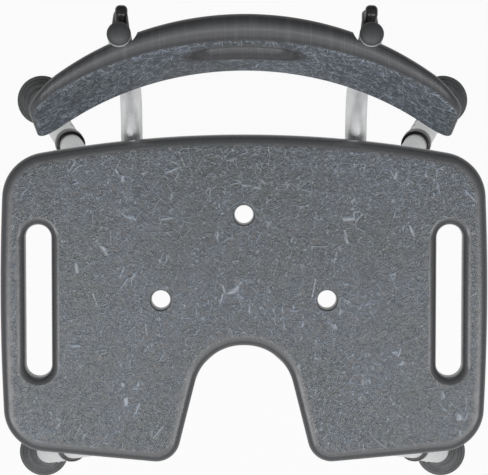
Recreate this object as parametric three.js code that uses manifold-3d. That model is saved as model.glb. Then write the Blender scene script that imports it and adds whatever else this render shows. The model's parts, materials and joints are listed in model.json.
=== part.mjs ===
// A shower chair: moulded seat and back on two crossed leg tubes, with four telescoping legs.
// Millimetres, +Z up, X across the chair, +Y to the rear.
import * as THREE from "three";
import { mergeVertices } from "three/addons/utils/BufferGeometryUtils.js";
import Module from "manifold-3d";

const wasm = await Module();
wasm.setup();

// Clearances and cutter overrun
const FIT_GAP = 0.3;
const SLIDE_GAP = 0.3;
const HOLE_GAP = 0.3;
const BORE_GAP = 0.3;
const OVERRUN = 6;

// Smoothness
const CHORD_ERROR = 0.3;
const SMALLEST_EDGE = 0.25;
const LARGEST_ARC_STEP = THREE.MathUtils.degToRad(30);
const TUBE_SIDES = 16;
const SMALL_SIDES = 8;
const FOOT_SIDES = 18;
const HEX_SIDES = 6;
const BEND_STEPS = 4;
const ROUND_STEPS = 3;
const SMALL_ROUND_STEPS = 1;
const FLARE_STEPS = 2;
const SLOT_ARC_STEPS = 6;
const SLOT_SIDE_STEPS = 4;

// Seat panel
const SEAT_TOP_Z = 430;
const SEAT_THICKNESS = 28;
const SEAT_RIM_RADIUS = 9;
const SEAT_REAR_Y = 169.5;
const SEAT_REAR_BOW_X = 104;
const SEAT_REAR_BOW_RADIUS = 1165;
const SEAT_REAR_CORNER_X = 246.6;
const SEAT_REAR_CORNER_Y = 144;
const SEAT_REAR_CORNER_RADIUS = 47;
const SEAT_SIDE_BOW_X = 252.9;
const SEAT_SIDE_BOW_RADIUS = 2400;
const SEAT_FRONT_CORNER_X = 246.2;
const SEAT_FRONT_CORNER_Y = -154.2;
const SEAT_FRONT_CORNER_RADIUS = 45;
const SEAT_LOBE_X = 71.8;
const SEAT_LOBE_Y = -170.4;
const SEAT_LOBE_RADIUS = 25;
const CUTOUT_CORNER_X = 40.9;
const CUTOUT_Y = -47.5;
const CUTOUT_RADIUS = 50.9;

// Hand slots and drain holes of the seat
const SLOT_X = 211.5;
const SLOT_Y = -1.6;
const SLOT_WIDTH = 27;
const SLOT_LENGTH = 158;
const SLOT_DISH_SIDE = 8.25;
const SLOT_DISH_DEPTH = 10;
const SLOT_UNDER_SIDE = 4;
const SLOT_UNDER_DEPTH = 5;
const DRAIN_RADIUS = 9.45;
const DRAIN_FLARE_SIDE = 2.05;
const DRAIN_FLARE_DEPTH = 12;
const DRAIN_REAR_Y = 87.7;
const DRAIN_SIDE_X = 85.5;

// Crossed tubes that carry the seat; their ends are the upper legs
const CROSS_Y = -17;
const CROSS_Z = 389;
const CROSS_ANGLE = THREE.MathUtils.degToRad(41.5);
const CROSS_OUTER = 12.7;
const CROSS_WALL = 1.3;
const CROSS_CORNER = 208;
const CROSS_BEND_RADIUS = 60;
const LEG_SPLAY = THREE.MathUtils.degToRad(15.3);
const UPPER_LEG_END_Z = 36;
const FLAT_HALF_LENGTH = 20;
const FLAT_END = 42;
const FLAT_HALF_WIDTH = 15.5;
const FLAT_HALF_HEIGHT = 6.25;
const FLAT_STEPS = 2;

// Lower legs, collars and height holes
const LOWER_OUTER = 14.3;
const LOWER_WALL = 1.3;
const LOWER_END_Z = 10.1;
const HOLE_COUNT = 7;
const HOLE_PITCH = 25;
const HOLE_TO_TOP = 21.2;
const LEG_BUTTON_FROM_END = 30;
const COLLAR_OUTER = 16;
const COLLAR_LIP = 3;
const COLLAR_SKIRT = 15;
const COLLAR_ROUND = 1.2;

// Feet
const FOOT_RADIUS = 28.7;
const FOOT_BASE_HEIGHT = 8;
const FOOT_EDGE = 1.5;
const FOOT_STEP_RADIUS = 24;
const FOOT_STEP_HEIGHT = 13;
const FOOT_NECK_RADIUS = 20.5;
const FOOT_NECK_HEIGHT = 18;
const FOOT_SOCKET_RADIUS = 17.6;
const FOOT_SOCKET_TOP = 41;
const FOOT_SOCKET_LOW = 8;
const FOOT_RIM = 1.5;
const FOOT_CENTRE_Z = 5;

// Snap buttons and their springs
const BUTTON_RADIUS = 3.9;
const BUTTON_DOME = 1.2;
const BUTTON_FLANGE_THICK = 1.2;
const LEG_BUTTON_TIP = 17;
const LEG_FLANGE_RADIUS = 5.4;
const LEG_FLANGE_TOP = 9.6;
const BACK_BUTTON_TIP = 16.6;
const BACK_FLANGE_RADIUS = 4.6;
const BACK_FLANGE_TOP = 8.3;
const BACK_PIN_RADIUS = 3.4;
const SPRING_THICK = 0.8;
const LEG_SPRING_WIDTH = 8;
const LEG_SPRING_FLAT = 6;
const LEG_SPRING_REACH = 34;
const LEG_SPRING_FAR = 10.2;
const BACK_SPRING_WIDTH = 7;
const BACK_SPRING_FLAT = 6;
const BACK_SPRING_REACH = 30;
const BACK_SPRING_FAR = 9;

// Bolts and inserts of the seat and of the crossing
const SEAT_BOLT_AT = 130;
const BOLT_RADIUS = 3;
const BOLT_HEAD_FLATS = 5;
const BOLT_HEAD_THICK = 4;
const SEAT_BOLT_INTO_SEAT = 12;
const INSERT_OUTER = 5.5;
const SEAT_INSERT_LENGTH = 14;
const CROSS_HEAD_THICK = 4.5;
const CROSS_HEAD_FLATS = 6.5;
const CROSS_BOLT_RADIUS = 4;
const CROSS_NUT_THICK = 6.5;
const CROSS_BOLT_END = 3;
const HEAD_POCKET_RADIUS = 9;
const HEAD_POCKET_DEPTH = 6;

// Back tubes, caps and sockets
const BACK_X = 116;
const BACK_TUBE_OUTER = 11.1;
const BACK_TUBE_WALL = 1.2;
const BACK_TUBE_Z = 388;
const BACK_TUBE_START_Y = 115;
const BACK_CORNER_Y = 206.5;
const BACK_BEND_RADIUS = 60;
const RECLINE = THREE.MathUtils.degToRad(11.9);
const BACK_TUBE_STAND = 3;
const CAP_RADIUS = 11.2;
const CAP_HEIGHT = 7;
const CAP_PLUG_LENGTH = 13;
const SOCKET_START_Y = 118;
const SOCKET_LENGTH = 39;
const SOCKET_HALF_WIDTH = 15;
const SOCKET_BELOW = 14;
const SOCKET_FLANGE_HALF = 31;
const SOCKET_FLANGE_THICK = 4.5;
const SOCKET_ROUND = 4;
const SOCKET_FLANGE_ROUND = 1.5;
const SOCKET_EDGE = 1;
const SOCKET_SCREW_X = 23;
const BACK_BUTTON_Y = 138;
const SCREW_RADIUS = 2;
const SCREW_HEAD_RADIUS = 4.2;
const SCREW_HEAD_THICK = 2.6;
const SCREW_HEAD_ROUND = 1;
const SCREW_INTO_SEAT = 12;

// Back panel
const PANEL_TOP_Z = 715;
const PANEL_HEIGHT = 157;
const PANEL_HALF_WIDTH = 200;
const PANEL_THICKNESS = 26.5;
const PANEL_REAR_ARC_RADIUS = 300;
const PANEL_ARC_SPREAD = 12;
const PANEL_BEHIND_TUBE = 21.4;
const PANEL_REAR_ROUND_SHARE = 0.4;
const PANEL_FRONT_ROUND_SHARE = 0.52;
const PANEL_RIM_SHARE = 0.94;
const PANEL_ARC_STEPS = 16;
const PANEL_SLOT_DROP = 62;
const PANEL_SLOT_HEIGHT = 30;
const PANEL_SLOT_LENGTH = 98;
const PANEL_SLOT_SIDE = 9;
const PANEL_SLOT_DEPTH = 9;
const CHANNEL_GAP = 0.4;
const CHANNEL_LIP_RADIUS = 17;
const CHANNEL_LIP_BEHIND = 7;

// Wing screws of the back panel
const KNOB_DROP = 33;
const KNOB_HUB_RADIUS = 8.5;
const KNOB_HUB_TOP_RADIUS = 6.5;
const KNOB_HUB_LENGTH = 16;
const KNOB_WING_SPAN = 16;
const KNOB_WING_ROOT = 6;
const KNOB_WING_LOW = 3.5;
const KNOB_WING_HIGH = 28;
const KNOB_WING_WAIST = 10;
const KNOB_WING_DIP = 18;
const KNOB_WING_THICK = 11.5;
const KNOB_WING_EDGE = 2.6;
const KNOB_WING_ROUND = 4.5;
const KNOB_TILT = THREE.MathUtils.degToRad(6);
const STUD_RADIUS = 3;
const STUD_INTO_KNOB = 9;
const PANEL_INSERT_LENGTH = 9;
const STUD_INTO_INSERT = 8;
const PANEL_INSERT_FROM_TUBE = 12.2;

const SEAT_BOTTOM_Z = SEAT_TOP_Z - SEAT_THICKNESS;
const UPPER_LEG_LENGTH = (CROSS_Z - UPPER_LEG_END_Z) / Math.cos(LEG_SPLAY);
const LEG_BUTTON_AT = UPPER_LEG_LENGTH - LEG_BUTTON_FROM_END;
const LOWER_TOP = LEG_BUTTON_AT - HOLE_PITCH * (HOLE_COUNT - 1) - HOLE_TO_TOP;
const LOWER_LENGTH = (CROSS_Z - LOWER_END_Z) / Math.cos(LEG_SPLAY) - LOWER_TOP;
const PANEL_FRONT_ARC_RADIUS = PANEL_REAR_ARC_RADIUS + PANEL_ARC_SPREAD;
const PANEL_SLOT_Z = PANEL_TOP_Z - PANEL_SLOT_DROP;
const KNOB_Z = PANEL_TOP_Z - KNOB_DROP;
const BACK_TUBE_TOP_Z = PANEL_TOP_Z + BACK_TUBE_STAND;
const HOLE_RADIUS = BUTTON_RADIUS + HOLE_GAP;
const X_AXIS = new THREE.Vector3(1, 0, 0);
const Z_AXIS = new THREE.Vector3(0, 0, 1);

const SEAT_GREY = { color: 0x5a5e64, roughness: 0.55, metalness: 0 };
const TUBE_ALUMINIUM = { color: 0xc9cbcc, roughness: 0.32, metalness: 0.95 };
const BLACK_PLASTIC = { color: 0x1c1d1f, roughness: 0.45, metalness: 0 };
const FOOT_RUBBER = { color: 0x4b4d4f, roughness: 0.8, metalness: 0 };
const STEEL = { color: 0x9c9fa2, roughness: 0.35, metalness: 1 };
const BRASS = { color: 0xb08d4a, roughness: 0.4, metalness: 1 };

// Closed solids from three.js geometry, for joins and cuts
function toSolid(geometry) {
  const plain = geometry.clone();
  plain.deleteAttribute("normal");
  plain.deleteAttribute("uv");
  const merged = mergeVertices(plain);
  return new wasm.Manifold(
    new wasm.Mesh({
      numProp: 3,
      vertProperties: new Float32Array(merged.getAttribute("position").array),
      triVerts: new Uint32Array(merged.index.array),
    }),
  );
}

function toGeometry(solid) {
  const mesh = solid.getMesh();
  const geometry = new THREE.BufferGeometry();
  geometry.setAttribute("position", new THREE.BufferAttribute(mesh.vertProperties, 3));
  geometry.setIndex(new THREE.BufferAttribute(mesh.triVerts, 1));
  geometry.computeVertexNormals();
  return geometry;
}

function cut(body, cutters) {
  let solid = toSolid(body);
  for (const cutter of cutters) {
    solid = solid.subtract(toSolid(cutter));
  }
  return toGeometry(solid);
}

function join(pieces) {
  let solid = toSolid(pieces[0]);
  for (const piece of pieces.slice(1)) {
    solid = solid.add(toSolid(piece));
  }
  return toGeometry(solid);
}

// Turned shapes stand on the Z axis; the profile is a list of [radius, height]
function turned(profile, sides) {
  const points = profile.map(([radius, height]) => new THREE.Vector2(radius, height));
  return new THREE.LatheGeometry(points, sides).rotateX(Math.PI / 2);
}

function rod(radius, from, to, sides = SMALL_SIDES) {
  return turned([[0, from], [radius, from], [radius, to], [0, to]], sides);
}

function sleeve(outer, inner, from, to, sides = SMALL_SIDES) {
  return turned([[outer, from], [outer, to], [inner, to], [inner, from], [outer, from]], sides);
}

// A frame whose Z runs along one direction and whose X points to another
function frameAt(origin, along, across) {
  const side = new THREE.Vector3().crossVectors(along, across).normalize();
  return new THREE.Matrix4().makeBasis(across, side, along).setPosition(origin);
}

function corner(x, y, radius) {
  return { at: new THREE.Vector2(x, y), radius };
}

// A closed outline whose corners are rounded, each by its own radius, or left sharp at 0
function roundedOutline(corners) {
  const points = [];
  corners.forEach((here, index) => {
    if (here.radius === 0) {
      points.push(here.at.clone());
      return;
    }
    const before = corners[(index + corners.length - 1) % corners.length].at;
    const after = corners[(index + 1) % corners.length].at;
    const toBefore = before.clone().sub(here.at).normalize();
    const toAfter = after.clone().sub(here.at).normalize();
    const opening = Math.acos(toBefore.dot(toAfter));
    const turn = Math.PI - opening;
    const tangent = here.radius * Math.tan(turn / 2);
    const middle = toBefore.clone().add(toAfter).normalize();
    const centre = here.at.clone().addScaledVector(middle, here.radius / Math.sin(opening / 2));
    const start = here.at.clone().addScaledVector(toBefore, tangent).sub(centre);
    const fine = 2 * Math.acos(1 - CHORD_ERROR / here.radius);
    const steps = Math.ceil(turn / Math.min(fine, LARGEST_ARC_STEP));
    const sense = Math.sign(toAfter.cross(toBefore));
    for (let step = 0; step <= steps; step += 1) {
      const point = start.clone().rotateAround(new THREE.Vector2(), (sense * turn * step) / steps);
      points.push(point.add(centre));
    }
  });
  return points.filter((point, index) => {
    const next = points[(index + 1) % points.length];
    return point.distanceTo(next) > SMALLEST_EDGE;
  });
}

function mirrored(halfCorners) {
  const left = halfCorners.map(({ at, radius }) => corner(-at.x, at.y, radius)).reverse();
  return [...halfCorners, ...left];
}

// A plate with rounded rims, from z = 0 up to the given height
function plate(points, height, rim, rimSteps, holes = []) {
  const shape = new THREE.Shape(points);
  shape.holes = holes.map((hole) => new THREE.Path(hole));
  return new THREE.ExtrudeGeometry(shape, {
    depth: height - 2 * rim,
    bevelEnabled: rim > 0,
    bevelThickness: rim,
    bevelSize: rim,
    bevelOffset: -rim,
    bevelSegments: rimSteps,
    steps: 1,
  }).translate(0, 0, rim);
}

// Rings of a round-ended slot at several depths, joined into one closed cutter.
// Each station is [depth, extra width]; place maps (along, across, depth) to a point.
function slotCutter(radius, halfStraight, stations, place) {
  const rings = stations.map(([depth, extra]) => {
    const ring = [];
    for (const end of [1, -1]) {
      for (let step = 0; step <= SLOT_ARC_STEPS; step += 1) {
        const angle = (step / SLOT_ARC_STEPS - 1 / 2) * Math.PI;
        const along = halfStraight + (radius + extra) * Math.cos(angle);
        const across = (radius + extra) * Math.sin(angle);
        ring.push([end * along, end * across, depth]);
      }
      for (let step = 1; step < SLOT_SIDE_STEPS && halfStraight > 0; step += 1) {
        const share = 1 - (2 * step) / SLOT_SIDE_STEPS;
        ring.push([end * halfStraight * share, end * (radius + extra), depth]);
      }
    }
    return ring;
  });
  const count = rings[0].length;
  const positions = rings.flat().flatMap((point) => place(...point).toArray());
  const first = positions.length / 3;
  positions.push(...place(0, 0, stations[0][0]).toArray());
  positions.push(...place(0, 0, stations.at(-1)[0]).toArray());
  const faces = [];
  for (let i = 0; i < count; i += 1) {
    const next = (i + 1) % count;
    for (let ring = 0; ring + 1 < rings.length; ring += 1) {
      const low = ring * count;
      const high = low + count;
      faces.push(low + i, low + next, high + next, low + i, high + next, high + i);
    }
    const last = (rings.length - 1) * count;
    faces.push(first, next, i, first + 1, last + i, last + next);
  }
  const geometry = new THREE.BufferGeometry();
  geometry.setAttribute("position", new THREE.Float32BufferAttribute(positions, 3));
  geometry.setIndex(faces);
  return geometry;
}

// Stations of a hole through a wall, rounded over at its low and high faces
function roundedOver(low, high, lowSide, lowDepth, highSide, highDepth) {
  const stations = [[low - OVERRUN, lowSide]];
  for (let step = 0; step <= FLARE_STEPS; step += 1) {
    const angle = ((step / FLARE_STEPS) * Math.PI) / 2;
    stations.push([low + lowDepth * (1 - Math.cos(angle)), lowSide * (1 - Math.sin(angle))]);
  }
  for (let step = FLARE_STEPS; step >= 0; step -= 1) {
    const angle = ((step / FLARE_STEPS) * Math.PI) / 2;
    stations.push([high - highDepth * (1 - Math.cos(angle)), highSide * (1 - Math.sin(angle))]);
  }
  stations.push([high + OVERRUN, highSide]);
  return stations;
}

// A straight run, one bend and a second straight run; gives the point and the turn so far
function bentPath(lead, radius, turn, distance) {
  const arc = radius * turn;
  const angle = THREE.MathUtils.clamp((distance - lead) / radius, 0, turn);
  const beyond = Math.max(distance - lead - arc, 0);
  const along = Math.min(distance, lead) + radius * Math.sin(angle) + beyond * Math.cos(turn);
  const aside = radius * (1 - Math.cos(angle)) + beyond * Math.sin(turn);
  return { along, aside, angle };
}

function bendStations(lead, radius, turn) {
  return Array.from({ length: BEND_STEPS + 1 }, (_, step) => lead + (radius * turn * step) / BEND_STEPS);
}

// A straight tube with rings at the given distances, then moved point by point
function shapedTube(outer, wall, stations, move) {
  const inner = outer - wall;
  const walls = stations.map((at) => [outer, at]);
  const bore = stations.map((at) => [inner, at]).reverse();
  const geometry = turned([...walls, ...bore, walls[0]], TUBE_SIDES);
  const position = geometry.getAttribute("position");
  const point = new THREE.Vector3();
  for (let i = 0; i < position.count; i += 1) {
    point.fromBufferAttribute(position, i);
    position.setXYZ(i, ...move(point).toArray());
  }
  return geometry;
}

const LEG_TURN = Math.PI / 2 - LEG_SPLAY;
const CROSS_TANGENT = CROSS_BEND_RADIUS * Math.tan(LEG_TURN / 2);
const CROSS_LEAD = CROSS_CORNER - CROSS_TANGENT;
const CROSS_REACH = CROSS_LEAD + CROSS_BEND_RADIUS * LEG_TURN + UPPER_LEG_LENGTH - CROSS_TANGENT;

// The four legs, each with its frame: Z down the leg, X toward its snap button
const LEGS = [
  { name: "front_left", x: -1, y: -1 },
  { name: "front_right", x: 1, y: -1 },
  { name: "rear_left", x: -1, y: 1 },
  { name: "rear_right", x: 1, y: 1 },
].map(({ name, x, y }) => {
  const outward = new THREE.Vector3(x * Math.cos(CROSS_ANGLE), y * Math.sin(CROSS_ANGLE), 0);
  const down = outward.clone().multiplyScalar(Math.sin(LEG_SPLAY));
  down.z = -Math.cos(LEG_SPLAY);
  const button = new THREE.Vector3(-x * Math.sin(CROSS_ANGLE), y * Math.cos(CROSS_ANGLE), 0);
  const bend = outward.clone().multiplyScalar(CROSS_CORNER).add(new THREE.Vector3(0, CROSS_Y, CROSS_Z));
  return { name, outward, down, button, bend, frame: frameAt(bend, down, button) };
});

const BACK_SIDES = [
  { name: "left", x: -1 },
  { name: "right", x: 1 },
];

function onLeg(leg, geometry) {
  return geometry.applyMatrix4(leg.frame);
}

// A frame on a leg at a distance down it, with Z toward the snap button
function buttonFrame(leg, distance) {
  const origin = leg.bend.clone().addScaledVector(leg.down, distance);
  return frameAt(origin, leg.button, leg.down);
}

function flatShare(distance) {
  return 1 - THREE.MathUtils.smoothstep(Math.abs(distance), FLAT_HALF_LENGTH, FLAT_END);
}

// One cross tube; the rise sets whether it passes over or under the other one
function crossTube(heading, rise, legs) {
  const half = [0, FLAT_HALF_LENGTH];
  for (let step = 1; step <= FLAT_STEPS; step += 1) {
    half.push(FLAT_HALF_LENGTH + ((FLAT_END - FLAT_HALF_LENGTH) * step) / FLAT_STEPS);
  }
  half.push(...bendStations(CROSS_LEAD, CROSS_BEND_RADIUS, LEG_TURN), CROSS_REACH);
  const stations = [...half.slice(1).map((at) => -at).reverse(), ...half];
  const side = new THREE.Vector3().crossVectors(Z_AXIS, heading);
  const middle = (FLAT_HALF_HEIGHT + FIT_GAP / 2) * rise;
  const tube = shapedTube(CROSS_OUTER, CROSS_WALL, stations, (point) => {
    const end = Math.sign(point.z);
    const { along, aside, angle } = bentPath(CROSS_LEAD, CROSS_BEND_RADIUS, LEG_TURN, Math.abs(point.z));
    const flat = flatShare(point.z);
    const radius = Math.hypot(point.x, point.y);
    const inset = radius > CROSS_OUTER - CROSS_WALL / 2 ? 0 : CROSS_WALL;
    const wide = THREE.MathUtils.lerp(radius, FLAT_HALF_WIDTH - inset, flat) / radius;
    const high = THREE.MathUtils.lerp(radius, FLAT_HALF_HEIGHT - inset, flat) / radius;
    const up = point.y * high + middle * flat;
    return new THREE.Vector3(0, CROSS_Y, CROSS_Z)
      .addScaledVector(heading, end * (along + up * Math.sin(angle)))
      .addScaledVector(side, point.x * wide)
      .addScaledVector(Z_AXIS, up * Math.cos(angle) - aside);
  });
  const cutters = [crossBoltHole()];
  for (const leg of legs) {
    cutters.push(rod(HOLE_RADIUS, 0, CROSS_OUTER + OVERRUN).applyMatrix4(buttonFrame(leg, LEG_BUTTON_AT)));
    cutters.push(seatBoltHole(leg));
  }
  return cut(tube, cutters);
}

function crossBoltHole() {
  const reach = CROSS_OUTER + OVERRUN;
  return rod(CROSS_BOLT_RADIUS + HOLE_GAP, -reach, reach).translate(0, CROSS_Y, CROSS_Z);
}

function seatBoltPlace(leg) {
  return leg.outward.clone().multiplyScalar(SEAT_BOLT_AT).add(new THREE.Vector3(0, CROSS_Y, 0));
}

function seatBoltHole(leg) {
  const { x, y } = seatBoltPlace(leg);
  const reach = CROSS_OUTER + OVERRUN;
  return rod(BOLT_RADIUS + HOLE_GAP, CROSS_Z - reach, CROSS_Z + reach).translate(x, y, 0);
}

function seatPanel() {
  const outline = roundedOutline(
    mirrored([
      corner(SEAT_REAR_BOW_X, SEAT_REAR_Y, SEAT_REAR_BOW_RADIUS),
      corner(SEAT_REAR_CORNER_X, SEAT_REAR_CORNER_Y, SEAT_REAR_CORNER_RADIUS),
      corner(SEAT_SIDE_BOW_X, 0, SEAT_SIDE_BOW_RADIUS),
      corner(SEAT_FRONT_CORNER_X, SEAT_FRONT_CORNER_Y, SEAT_FRONT_CORNER_RADIUS),
      corner(SEAT_LOBE_X, SEAT_LOBE_Y, SEAT_LOBE_RADIUS),
      corner(CUTOUT_CORNER_X, CUTOUT_Y, CUTOUT_RADIUS),
    ]),
  );
  const body = plate(outline, SEAT_THICKNESS, SEAT_RIM_RADIUS, ROUND_STEPS).translate(0, 0, SEAT_BOTTOM_Z);
  const cutters = [...seatSlots(), ...drainHoles(), ...seatFixings()];
  return cut(body, cutters);
}

function seatSlots() {
  const stations = roundedOver(
    SEAT_BOTTOM_Z, SEAT_TOP_Z, SLOT_UNDER_SIDE, SLOT_UNDER_DEPTH, SLOT_DISH_SIDE, SLOT_DISH_DEPTH,
  );
  const halfStraight = (SLOT_LENGTH - SLOT_WIDTH) / 2;
  return BACK_SIDES.map(({ x }) =>
    slotCutter(SLOT_WIDTH / 2, halfStraight, stations, (along, across, depth) =>
      new THREE.Vector3(x * SLOT_X - across, SLOT_Y + along, depth)),
  );
}

function drainHoles() {
  const stations = roundedOver(
    SEAT_BOTTOM_Z, SEAT_TOP_Z, DRAIN_FLARE_SIDE, DRAIN_FLARE_DEPTH, DRAIN_FLARE_SIDE, DRAIN_FLARE_DEPTH,
  );
  const places = [[0, DRAIN_REAR_Y], [-DRAIN_SIDE_X, 0], [DRAIN_SIDE_X, 0]];
  return places.map(([x, y]) => {
    const profile = stations.map(([depth, extra]) => [DRAIN_RADIUS + extra, depth]);
    const closed = [[0, profile[0][1]], ...profile, [0, profile.at(-1)[1]]];
    return turned(closed, TUBE_SIDES).translate(x, y, 0);
  });
}

function seatFixings() {
  const cutters = [
    rod(HEAD_POCKET_RADIUS, SEAT_BOTTOM_Z - OVERRUN, SEAT_BOTTOM_Z + HEAD_POCKET_DEPTH).translate(0, CROSS_Y, 0),
  ];
  for (const leg of LEGS) {
    const { x, y } = seatBoltPlace(leg);
    const top = SEAT_BOTTOM_Z + SEAT_INSERT_LENGTH + 2 * FIT_GAP;
    cutters.push(rod(INSERT_OUTER + FIT_GAP, SEAT_BOTTOM_Z - OVERRUN, top).translate(x, y, 0));
  }
  for (const place of socketScrewPlaces()) {
    const top = SEAT_BOTTOM_Z + SCREW_INTO_SEAT + FIT_GAP;
    cutters.push(rod(SCREW_RADIUS + HOLE_GAP, SEAT_BOTTOM_Z - OVERRUN, top).translate(place.x, place.y, 0));
  }
  return cutters;
}

function socketScrewPlaces() {
  return BACK_SIDES.flatMap(({ name, x }) =>
    [-1, 1].map((side) => ({
      name: `${name}_${side * x > 0 ? "outer" : "inner"}`,
      x: x * BACK_X + side * SOCKET_SCREW_X,
      y: SOCKET_START_Y + SOCKET_LENGTH / 2,
    })),
  );
}

function hexagon(halfFlats) {
  return Array.from({ length: HEX_SIDES }, (_, side) =>
    new THREE.Vector2(halfFlats / Math.cos(Math.PI / HEX_SIDES), 0)
      .rotateAround(new THREE.Vector2(), (side * 2 * Math.PI) / HEX_SIDES),
  );
}

// A hexagon bolt whose head's inner face is at z = 0 and whose shank runs up
function hexBolt(radius, halfFlats, headThick, length) {
  const head = plate(hexagon(halfFlats), headThick, 0, 0).translate(0, 0, -headThick);
  return join([head, rod(radius, -headThick / 2, length)]);
}

function seatBolt(leg) {
  const { x, y } = seatBoltPlace(leg);
  const seat = CROSS_Z - CROSS_OUTER - FIT_GAP;
  const length = SEAT_BOTTOM_Z + SEAT_BOLT_INTO_SEAT - seat;
  return hexBolt(BOLT_RADIUS, BOLT_HEAD_FLATS, BOLT_HEAD_THICK, length).translate(x, y, seat);
}

function seatInsert(leg) {
  const { x, y } = seatBoltPlace(leg);
  const from = SEAT_BOTTOM_Z + FIT_GAP;
  return sleeve(INSERT_OUTER, BOLT_RADIUS + HOLE_GAP, from, from + SEAT_INSERT_LENGTH).translate(x, y, 0);
}

const CROSS_STACK = 2 * FLAT_HALF_HEIGHT + FIT_GAP / 2;

function crossBolt() {
  const length = 2 * (CROSS_STACK + FIT_GAP) + CROSS_NUT_THICK + CROSS_BOLT_END;
  return hexBolt(CROSS_BOLT_RADIUS, CROSS_HEAD_FLATS, CROSS_HEAD_THICK, length)
    .rotateX(Math.PI)
    .translate(0, CROSS_Y, CROSS_Z + CROSS_STACK + FIT_GAP);
}

function crossNut() {
  const bore = CROSS_BOLT_RADIUS + HOLE_GAP;
  const hole = Array.from({ length: SMALL_SIDES }, (_, side) =>
    new THREE.Vector2(bore, 0).rotateAround(new THREE.Vector2(), (-side * 2 * Math.PI) / SMALL_SIDES),
  );
  const top = CROSS_Z - CROSS_STACK - FIT_GAP;
  return plate(hexagon(CROSS_HEAD_FLATS), CROSS_NUT_THICK, 0, 0, [hole])
    .translate(0, CROSS_Y, top - CROSS_NUT_THICK);
}

function lowerLeg(leg) {
  const tube = onLeg(leg, sleeve(
    LOWER_OUTER, LOWER_OUTER - LOWER_WALL, LOWER_TOP, LOWER_TOP + LOWER_LENGTH, TUBE_SIDES,
  ));
  const holes = Array.from({ length: HOLE_COUNT }, (_, step) =>
    rod(HOLE_RADIUS, 0, LOWER_OUTER + OVERRUN)
      .applyMatrix4(buttonFrame(leg, LEG_BUTTON_AT - HOLE_PITCH * step)),
  );
  return cut(tube, holes);
}

function legCollar(leg) {
  const bore = CROSS_OUTER + SLIDE_GAP;
  const skirt = LOWER_OUTER + FIT_GAP;
  const top = LOWER_TOP - FIT_GAP - COLLAR_LIP;
  const profile = [
    [bore, top],
    [bore, LOWER_TOP - FIT_GAP],
    [skirt, LOWER_TOP - FIT_GAP],
    [skirt, top + COLLAR_SKIRT],
    [COLLAR_OUTER, top + COLLAR_SKIRT],
    [COLLAR_OUTER, top + COLLAR_ROUND],
    [COLLAR_OUTER - COLLAR_ROUND, top],
    [bore, top],
  ];
  return onLeg(leg, turned(profile.reverse(), TUBE_SIDES));
}

// The point where a leg's axis is at the given height
function legPointAt(leg, z) {
  return leg.bend.clone().addScaledVector(leg.down, (leg.bend.z - z) / Math.cos(LEG_SPLAY));
}

function foot(leg) {
  const centre = legPointAt(leg, FOOT_CENTRE_Z);
  const base = turned(
    [
      [0, 0],
      [FOOT_RADIUS - FOOT_EDGE, 0],
      [FOOT_RADIUS, FOOT_EDGE],
      [FOOT_RADIUS, FOOT_BASE_HEIGHT - FOOT_EDGE],
      [FOOT_RADIUS - FOOT_EDGE, FOOT_BASE_HEIGHT],
      [FOOT_STEP_RADIUS, FOOT_BASE_HEIGHT],
      [FOOT_STEP_RADIUS, FOOT_STEP_HEIGHT - FOOT_EDGE],
      [FOOT_STEP_RADIUS - FOOT_EDGE, FOOT_STEP_HEIGHT],
      [FOOT_NECK_RADIUS, FOOT_STEP_HEIGHT],
      [FOOT_NECK_RADIUS, FOOT_NECK_HEIGHT - FOOT_EDGE],
      [FOOT_NECK_RADIUS - FOOT_EDGE, FOOT_NECK_HEIGHT],
      [0, FOOT_NECK_HEIGHT],
    ],
    FOOT_SIDES,
  ).translate(centre.x, centre.y, 0);
  const low = (leg.bend.z - FOOT_SOCKET_LOW) / Math.cos(LEG_SPLAY);
  const high = (leg.bend.z - FOOT_SOCKET_TOP) / Math.cos(LEG_SPLAY);
  const socket = onLeg(leg, turned(
    [
      [0, high],
      [FOOT_SOCKET_RADIUS - FOOT_RIM, high],
      [FOOT_SOCKET_RADIUS, high + FOOT_RIM],
      [FOOT_SOCKET_RADIUS, low],
      [0, low],
    ],
    TUBE_SIDES,
  ));
  const floor = LOWER_TOP + LOWER_LENGTH + FIT_GAP;
  const bore = onLeg(leg, rod(LOWER_OUTER + FIT_GAP, high - OVERRUN, floor, TUBE_SIDES));
  return cut(join([base, socket]), [bore]);
}

// A domed pin on a flange; Z runs outward through the tube wall
function snapButton(pinRadius, tip, flangeRadius, flangeTop) {
  return turned(
    [
      [0, flangeTop - BUTTON_FLANGE_THICK],
      [flangeRadius, flangeTop - BUTTON_FLANGE_THICK],
      [flangeRadius, flangeTop],
      [pinRadius, flangeTop],
      [pinRadius, tip - BUTTON_DOME],
      [pinRadius - BUTTON_DOME, tip],
      [0, tip],
    ],
    SMALL_SIDES,
  );
}

// A bent strip in the tube: one arm under the button, the other on the far wall.
// Z is toward the button and X runs along the tube.
function vSpring(near, far, flat, reach, width) {
  const outer = [[-flat, near], [-flat, near - SPRING_THICK], [flat, near - SPRING_THICK]];
  const inner = [[flat, SPRING_THICK - far], [-flat, SPRING_THICK - far], [-flat, -far]];
  const outline = [...outer, [reach - 2 * SPRING_THICK, 0], ...inner, [flat, -far], [reach, 0], [flat, near]];
  return plate(outline.map(([x, y]) => new THREE.Vector2(x, y)), width, 0, 0)
    .translate(0, 0, -width / 2)
    .rotateX(Math.PI / 2);
}

function legButton(leg) {
  return snapButton(BUTTON_RADIUS, LEG_BUTTON_TIP, LEG_FLANGE_RADIUS, LEG_FLANGE_TOP)
    .applyMatrix4(buttonFrame(leg, LEG_BUTTON_AT));
}

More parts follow.
